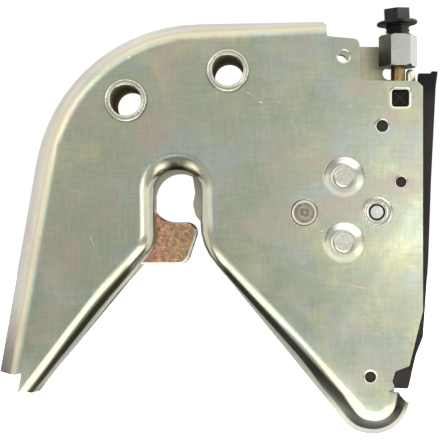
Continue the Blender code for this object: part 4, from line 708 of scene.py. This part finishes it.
# %% Turned and riveted pieces
rivet_steel = plated("rivet_steel", (0.56, 0.56, 0.48), (0.50, 0.46, 0.42), (0.50, 0.53, 0.50),
                     (0.56, 0.54, 0.42), scale=120.0, strength=0.6, rough=0.36,
                     stretch=(700.0, 700.0, 700.0), grain_depth=0.18, grit=0.05, wear=0.0002, grime_shade=0.5)
for node, centre in (("mounting_sleeve_left", (-0.025, -0.0073)), ("mounting_sleeve_right", (0.025, 0.0073))):
    sleeve_steel = plated(node + "_steel", (0.54, 0.53, 0.43), (0.54, 0.48, 0.42), SLATE, STRAW, scale=60.0,
                          strength=0.5, rough=0.26, stretch=(500.0, 500.0, 500.0), grain_depth=0.10, grime_shade=0.9,
                          grime_shade_reach=0.014)
    ringed(sleeve_steel, centre, 0.00140, 0.10, 0.22)
    tree = sleeve_steel.node_tree
    # Painted shade: inside the bores the colour turns dark brown and the metal fades out.
    bore_shade = remap(tree, calculate(tree, "ABSOLUTE", facing_of(tree)["Y"]), 0.5, 0.2)
    recolour(sleeve_steel, mix_colours(tree, bore_shade, colour_of(sleeve_steel), (0.16, 0.14, 0.085, 1.0)))
    shader = tree.nodes["Principled BSDF"]
    shader.inputs["Specular IOR Level"].default_value = 0.0
    tree.links.new(calculate(tree, "SUBTRACT", 1.0, bore_shade), shader.inputs["Metallic"])
    softened(node, sleeve_steel, 0.00045, segments=3)
dull_steel = plated("lever_rivet_steel", (0.30, 0.28, 0.22), (0.36, 0.25, 0.20), (0.26, 0.30, 0.25),
                    (0.38, 0.34, 0.24), scale=200.0, strength=0.8, rough=0.40,
                    stretch=(700.0, 700.0, 700.0), grain_depth=0.25, grit=0.08, grime_shade=0.2)
ringed(dull_steel, (0.0625, -0.0623), 0.0028, 0.08, 0.20)
softened("lever_rivet", dull_steel, 0.00060, segments=3)
for node in ("spacer_rivet_upper", "spacer_rivet_lower", "guide_rivet_upper",
             "guide_rivet_lower", "cylinder_screw_upper", "cylinder_screw_lower"):
    softened(node, rivet_steel, 0.00030)
for node in ("hook_spacer_front", "hook_spacer_rear", "spring_post", "lever_spacer_front",
             "lever_spacer_rear"):
    softened(node, rivet_steel, 0.00020)

# %% [markdown]
# ## Hook
# The hook is forged and then plated, and on its rougher skin the passivation comes out in small, strong
# spots of copper, rose and yellow-green. The same clouds group makes them at a much finer scale. Along
# the hook the colour turns pinker and is painted lighter towards the left, as painted light, and
# greener and darker towards the right. Its chamfers that face down and right are painted pale as a
# painted highlight, and made rougher. Its relief is deeper than on sheet metal.

# %% Hook
hook_steel = plated("hook_steel", (0.40, 0.23, 0.15), (0.52, 0.20, 0.19), (0.36, 0.31, 0.11),
                    (0.68, 0.48, 0.30), scale=560.0, strength=1.0, rough=0.40,
                    stretch=(500.0, 500.0, 500.0), grain_depth=0.45, grit=0.16, wear=0.0012, grime_shade=0.4,
                    hair=0.1)
tree = hook_steel.node_tree
along = spot_of(tree)["X"]
# Pinker and painted lighter towards the left, as painted light; greener and darker towards the right.
tint_and_painted_light = mix_colours(tree, remap(tree, along, -0.034, 0.010), (1.45, 1.18, 1.25, 1.0), (0.78, 0.90, 0.80, 1.0))
colour = mix_colours(tree, 1.0, colour_of(hook_steel), tint_and_painted_light, "MULTIPLY")
facing = facing_of(tree)
# Painted highlight: the chamfers that face down and right are painted pale, and made rougher.
aside = calculate(tree, "SUBTRACT", facing["X"], facing["Z"])
lit_chamfer = both(tree, remap(tree, facing["Y"], -0.93, -0.85), remap(tree, facing["Y"], -0.3, -0.5))
lit_chamfer = calculate(tree, "MULTIPLY", lit_chamfer, remap(tree, aside, 0.3, 0.5))
recolour(hook_steel, mix_colours(tree, lit_chamfer, colour, (0.95, 0.93, 0.84, 1.0)))
shine = tree.nodes["Principled BSDF"].inputs["Roughness"]
lit_chamfer_roughness = calculate(tree, "MULTIPLY_ADD", lit_chamfer, 0.35)
tree.links.new(shine.links[0].from_socket, lit_chamfer_roughness.node.inputs[2])
tree.links.new(lit_chamfer_roughness, shine)
softened("hook", hook_steel, 0.00025)
bronze = plated("bush_bronze", (0.52, 0.34, 0.14), (0.50, 0.28, 0.14), (0.42, 0.36, 0.20), (0.60, 0.44, 0.20),
                scale=90.0, strength=0.5, rough=0.35, stretch=(500.0, 500.0, 500.0), grime_shade=0.5)
softened("hook_bush", bronze, 0.00020)
softened("rod_gland", bronze, 0.00020)

# %% [markdown]
# ## Levers and guide plate
# These are blanked from sheet, like the plates, but sit inside, where they stay clean and a little
# greener.

# %% Levers and guide plate
lever_steel = plated("lever_steel", (0.36, 0.39, 0.30), ROSE, SLATE, STRAW, scale=35.0, strength=0.6,
                     rough=0.36, grain_depth=0.15, grime_shade=0.5, shift=5.1)
guide_steel = plated("guide_steel", (0.52, 0.54, 0.42), ROSE, SLATE, STRAW, scale=60.0, strength=0.7,
                     rough=0.32, grain_depth=0.15, grime_shade=0.3)
softened("pin_guide_plate", guide_steel, 0.0003)
for node in ("transfer_lever", "release_lever"):
    softened(node, lever_steel, 0.00025)

# %% [markdown]
# ## Shaft, pins and springs
# The release shaft ends flush in a ring of rubber. Ground steel is smoother and more neutral than
# plated steel, and spring wire is darker, from its heat treatment and oil. Each spring has one end on the
# case and the other on a moving piece, so it is blended between the two: the two coils round a pivot
# wind up and the straight one is pressed together when the lock opens.

# %% Shaft, pins and springs
ground_steel = plated("ground_steel", (0.52, 0.52, 0.49), (0.50, 0.48, 0.46), (0.47, 0.50, 0.50),
                      (0.52, 0.50, 0.43), scale=150.0, strength=0.4, rough=0.26,
                      stretch=(600.0, 600.0, 600.0), grain_depth=0.12, grime_shade=0.6)
wire_steel = plated("spring_wire", (0.30, 0.30, 0.31), (0.30, 0.26, 0.24), (0.26, 0.28, 0.32),
                    (0.34, 0.31, 0.25), scale=150.0, strength=0.6, rough=0.34,
                    stretch=(500.0, 500.0, 500.0), grime_shade=0.3)
for node in ("release_shaft", "drive_pin", "piston_rod"):
    softened(node, ground_steel, 0.00015)
bush_steel = plated("bush_steel", (0.60, 0.59, 0.50), (0.58, 0.54, 0.46), (0.56, 0.58, 0.52),
                    (0.60, 0.58, 0.44), scale=120.0, strength=0.4, rough=0.28,
                    stretch=(500.0, 500.0, 500.0), grime_shade=0.5)
ringed(bush_steel, (0.0981, -0.0620), 0.00125, 0.08, 0.18)
softened("shaft_bush", bush_steel, 0.00025)
softened("pin_clip", wire_steel, 0.0)
SPRING_ENDS = {
    "hook_spring": ("case", "hook", (0.025, -0.0285, 0.0073), (0.025, -0.0257, 0.0073)),
    "lever_spring": ("case", "transfer", (0.0625, -0.0276, -0.0625), (0.0625, -0.0234, -0.0625)),
    "piston_spring": ("case", "piston", (0.1102, -0.0172, -0.0362), (0.1102, -0.0172, -0.0218)),
}
for node, ends in SPRING_ENDS.items():
    softened(node, wire_steel, 0.0, smooth=50.0, between=ends)
    print(f"{node} bends between the {ends[0]} and the {ends[1]}")

# %% [markdown]
# ## Cylinder and fitting
# The cylinder block and the neck came out of the bath more golden than the plates, as cast and turned
# steel do. The nut is brighter, with turned lines on its faces; its faces that turn left are painted
# dark as painted shade, and those that turn right pale as a painted highlight.

# %% Cylinder and fitting
block_steel = plated("block_steel", (0.80, 0.80, 0.62), (0.76, 0.68, 0.52), (0.70, 0.78, 0.66),
                     (0.80, 0.74, 0.48), scale=70.0, strength=0.6, rough=0.34,
                     stretch=(500.0, 500.0, 500.0), grime_shade=0.5)
neck_steel = plated("neck_steel", (0.31, 0.20, 0.08), (0.26, 0.16, 0.07), (0.26, 0.23, 0.11),
                    (0.42, 0.33, 0.15), scale=90.0, strength=0.6, rough=0.32,
                    stretch=(500.0, 500.0, 900.0), grime_shade=0.7)
nut_steel = plated("nut_steel", (0.42, 0.43, 0.38), (0.42, 0.40, 0.36), (0.40, 0.44, 0.44),
                   (0.46, 0.46, 0.38),
                   scale=90.0, strength=0.5, rough=0.30, stretch=(300.0, 300.0, 1600.0), grain_depth=0.15,
                   grime_shade=0.3)
softened("cylinder_block", block_steel, 0.00030)
softened("inlet_neck", neck_steel, 0.00020)
tree = nut_steel.node_tree
aside = facing_of(tree)["X"]
# Painted shade on the faces that turn left, and a painted highlight on those that turn right.
left_face_shade = remap(tree, aside, -0.30, -0.50, 0.0, 0.85)
right_face_highlight = remap(tree, aside, 0.30, 0.50, 0.0, 0.8)
colour = mix_colours(tree, left_face_shade, colour_of(nut_steel), (0.12, 0.115, 0.07, 1.0))
recolour(nut_steel, mix_colours(tree, right_face_highlight, colour, (0.72, 0.73, 0.65, 1.0)))
softened("inlet_nut", nut_steel, 0.00030)

# %% [markdown]
# ## Plastic and rubber
# The plug is moulded in black, and its flats that face right are painted a dull grey as a painted
# highlight. The cover is dark plastic under a film of brown dust that is thinner on faces that look up,
# and its top is painted near black as painted shade. Crossed ribs stiffen its square peg; the ribs are
# painted a little lighter as a painted highlight, and the hollows between them near black as painted
# shade. Neither is metal, so their recipe is a short one: a colour that varies a little, an uneven
# roughness, and the fine grain of the mould.

# %% Recipe: moulded plastic
def moulded(name, colour, dust, dust_amount, rough, grit, scale):
    """Plastic or rubber with mould grain, and dust wherever a wipe over the top doesn't reach."""
    made, tree, shader = new_material(name)
    place = put(tree, "ShaderNodeTexCoord").outputs["Object"]
    blotch = put(tree, "ShaderNodeTexNoise", {"Vector": place, "Scale": scale, "Detail": 4.0})
    facing = put(tree, "ShaderNodeNewGeometry").outputs["Normal"]
    up = put(tree, "ShaderNodeSeparateXYZ", {0: facing}).outputs["Z"]
    lying = remap(tree, up, 0.3, 0.9, 1.0, 0.1)
    film = calculate(tree, "MULTIPLY", lying, remap(tree, blotch.outputs[0], 0.35, 0.65, 0.4, 1.0))
    film = calculate(tree, "MULTIPLY", film, dust_amount)
    worn = use(tree, edge_wear, {"Radius": 0.0005, "Patchiness": 0.7})["Mask"]
    film = calculate(tree, "MAXIMUM", film, calculate(tree, "MULTIPLY", worn, 0.5 * dust_amount))
    tree.links.new(mix_colours(tree, film, (*colour, 1.0), (*dust, 1.0)), shader.inputs["Base Color"])
    uneven = remap(tree, blotch.outputs[0], 0.3, 0.7, rough - 0.08, rough + 0.08)
    tree.links.new(uneven, shader.inputs["Roughness"])
    pores = put(tree, "ShaderNodeTexNoise", {"Vector": place, "Scale": 1400.0, "Detail": 2.0})
    bump = put(tree, "ShaderNodeBump", {"Strength": 1.0, "Distance": grit / 1000.0,
                                        "Height": pores.outputs[0]})
    tree.links.new(bump.outputs[0], shader.inputs["Normal"])
    shader.inputs["Specular IOR Level"].default_value = 0.18
    return made


plug_plastic = moulded("plug_plastic", (0.004, 0.004, 0.005), (0.04, 0.036, 0.032), 0.2, 0.36, 0.015, 120.0)
cover_plastic = moulded("cover_plastic", (0.009, 0.008, 0.007), (0.060, 0.051, 0.042), 0.45, 0.46, 0.03, 60.0)
rubber = moulded("black_rubber", (0.012, 0.012, 0.012), (0.05, 0.045, 0.04), 0.3, 0.60, 0.03, 200.0)
tree = plug_plastic.node_tree
# Painted highlight: the plug's flats that face right are painted a dull grey.
flat_highlight = remap(tree, facing_of(tree)["X"], 0.10, 0.35, 0.0, 0.7)
recolour(plug_plastic, mix_colours(tree, flat_highlight, colour_of(plug_plastic), (0.085, 0.080, 0.068, 1.0)))
tree = cover_plastic.node_tree
spot = put(tree, "ShaderNodeSeparateXYZ", {0: put(tree, "ShaderNodeTexCoord").outputs["Object"]}).outputs
# Painted shade: the cover is painted near black from a little below its top upward.
top_shade = remap(tree, spot["Z"], -0.008, 0.001)
colour = mix_colours(tree, top_shade, colour_of(cover_plastic), (0.004, 0.004, 0.004, 1.0))
across = calculate(tree, "ABSOLUTE", calculate(tree, "SUBTRACT", spot["X"], 0.1096))
up = calculate(tree, "ABSOLUTE", calculate(tree, "SUBTRACT", spot["Z"], -0.0061))
from_rib = calculate(tree, "ABSOLUTE", calculate(tree, "SUBTRACT", across, up))
# Painted highlight on the ribs of the square peg, and painted shade in the hollows between them.
on_peg = remap(tree, calculate(tree, "MAXIMUM", across, up), 0.0043, 0.0041)
rib = calculate(tree, "MULTIPLY", on_peg, remap(tree, from_rib, 0.0014, 0.0002, 0.0, 0.7))
hollow_shade = calculate(tree, "SUBTRACT", on_peg, rib)
colour = mix_colours(tree, rib, colour, (0.016, 0.017, 0.013, 1.0))
recolour(cover_plastic, mix_colours(tree, hollow_shade, colour, (0.001, 0.001, 0.001, 1.0)))
normal = tree.nodes["Principled BSDF"].inputs["Normal"]
ribs = put(tree, "ShaderNodeBump", {"Strength": 1.0, "Distance": 0.0006, "Height": rib,
                                    "Normal": normal.links[0].from_socket})
tree.links.new(ribs.outputs[0], normal)
softened("transit_plug", plug_plastic, 0.00025)
softened("side_cover", cover_plastic, 0.00030)
for node in ("shaft_seal", "piston_seal", "sealing_washer"):
    softened(node, rubber, 0.00015)

# %% [markdown]
# ## Floor and light
# Product photographs of plated parts are taken in a white tent. Seen directly the tent is pure white,
# and in the metal it shows as bright bands wherever a bend faces it, while the flat front mirrors the
# dimmer side of the tent where the camera stands. The floor is white for camera rays through Light
# Path, and its own pale colour still takes the lock's soft shadow. In mirror rays the floor glows as a
# painted reflection, up to 2.8 times white in a band in front of the lock and dimmer towards the camera
# and the sides, with a painted shadow close in front of the lock, under it and behind it.

# %% Floor
floor_z = cad_box[0].z - 0.0004
floor_mesh = bpy.data.meshes.new("floor")
FLOOR_CORNERS = ((-3.0, -3.0), (3.0, -3.0), (3.0, 3.0), (-3.0, 3.0))
floor_mesh.from_pydata([(x, y, floor_z) for x, y in FLOOR_CORNERS],
                       [], [(0, 1, 2, 3)])
floor = bpy.data.objects.new("floor", floor_mesh)
bpy.context.scene.collection.objects.link(floor)
floor_paint, tree, shader = new_material("floor_paint")
shader.inputs["Base Color"].default_value = (0.80, 0.80, 0.80, 1.0)
shader.inputs["Roughness"].default_value = 0.9
path = put(tree, "ShaderNodeLightPath").outputs
seen = calculate(tree, "MAXIMUM", path["Is Camera Ray"], path["Is Transmission Ray"])
# Painted reflection: in mirror rays the floor glows, brightest in a band in front of the lock, with a painted
# shadow near, under and behind the lock.
place = put(tree, "ShaderNodeTexCoord").outputs["Object"]
split = put(tree, "ShaderNodeSeparateXYZ", {0: place}).outputs
aside = calculate(tree, "MULTIPLY", calculate(tree, "ABSOLUTE", split["X"]), -1.6)
table = calculate(tree, "ADD", calculate(tree, "ADD", split["Y"], 0.30), aside)
near = remap(tree, table, -0.08, 0.08, 0.55, 2.8)
middle = calculate(tree, "ABSOLUTE", calculate(tree, "SUBTRACT", split["X"], 0.015))
cut = calculate(tree, "ADD", split["Y"], remap(tree, middle, 0.0, 0.055, 0.070, 0.022))
painted_shadow_cut = remap(tree, cut, -0.006, 0.006, 1.0, 0.25)
mirrored_glow = calculate(tree, "MULTIPLY", calculate(tree, "MULTIPLY", near, painted_shadow_cut),
                  remap(tree, split["Y"], -0.022, -0.008, 1.0, 0.15))
direct = put(tree, "ShaderNodeAddShader", {0: shader.outputs[0], 1: put(tree, "ShaderNodeEmission", {
    "Strength": seen}).outputs[0]})
mirrored = put(tree, "ShaderNodeEmission", {"Strength": mirrored_glow})
total = put(tree, "ShaderNodeMixShader", {0: path["Is Glossy Ray"], 1: direct.outputs[0],
                                          2: mirrored.outputs[0]})
tree.links.new(total.outputs[0], tree.nodes["Material Output"].inputs["Surface"])
floor_mesh.materials.append(floor_paint)
print("floor at", round(floor_z * 1000, 1), "mm")

# %% World
world = bpy.data.worlds.new("white_tent")
bpy.context.scene.world = world
world.use_nodes = True
tree = world.node_tree
tree.nodes.clear()
direction = put(tree, "ShaderNodeTexCoord").outputs["Generated"]
split = put(tree, "ShaderNodeSeparateXYZ", {0: direction}).outputs
front = remap(tree, split["Y"], -0.955, -0.78, 0.73, 1.5)
tent = calculate(tree, "MULTIPLY", front, remap(tree, split["Y"], -0.25, 0.75, 1.0, 0.70))
path = put(tree, "ShaderNodeLightPath").outputs
seen = calculate(tree, "MAXIMUM", path["Is Camera Ray"], path["Is Transmission Ray"])
level = calculate(tree, "MAXIMUM", seen, tent)
tent_light = put(tree, "ShaderNodeBackground", {"Color": (1.0, 1.0, 1.0, 1.0), "Strength": level})
put(tree, "ShaderNodeOutputWorld", {"Surface": tent_light.outputs[0]})
print("world", world.name)

# %% Lamps
LAMPS = (
    ("key_right", (0.48, -1.10, -0.22), 0.55, 0.55, 3.0),
    ("fill_left", (-0.80, -0.60, 0.45), 0.50, 0.50, 0.8),
)
target = Vector((0.03, -0.02, -0.07))
for name, place, wide, high, power in LAMPS:
    lamp = bpy.data.lights.new(name, "AREA")
    lamp.shape = "RECTANGLE"
    lamp.size = wide
    lamp.size_y = high
    lamp.energy = power
    holder = bpy.data.objects.new(name, lamp)
    holder.location = place
    holder.rotation_euler = (target - Vector(place)).to_track_quat("-Z", "Y").to_euler()
    bpy.context.scene.collection.objects.link(holder)
bpy.context.scene.view_settings.view_transform = "Standard"
print(len(LAMPS), "lamps")
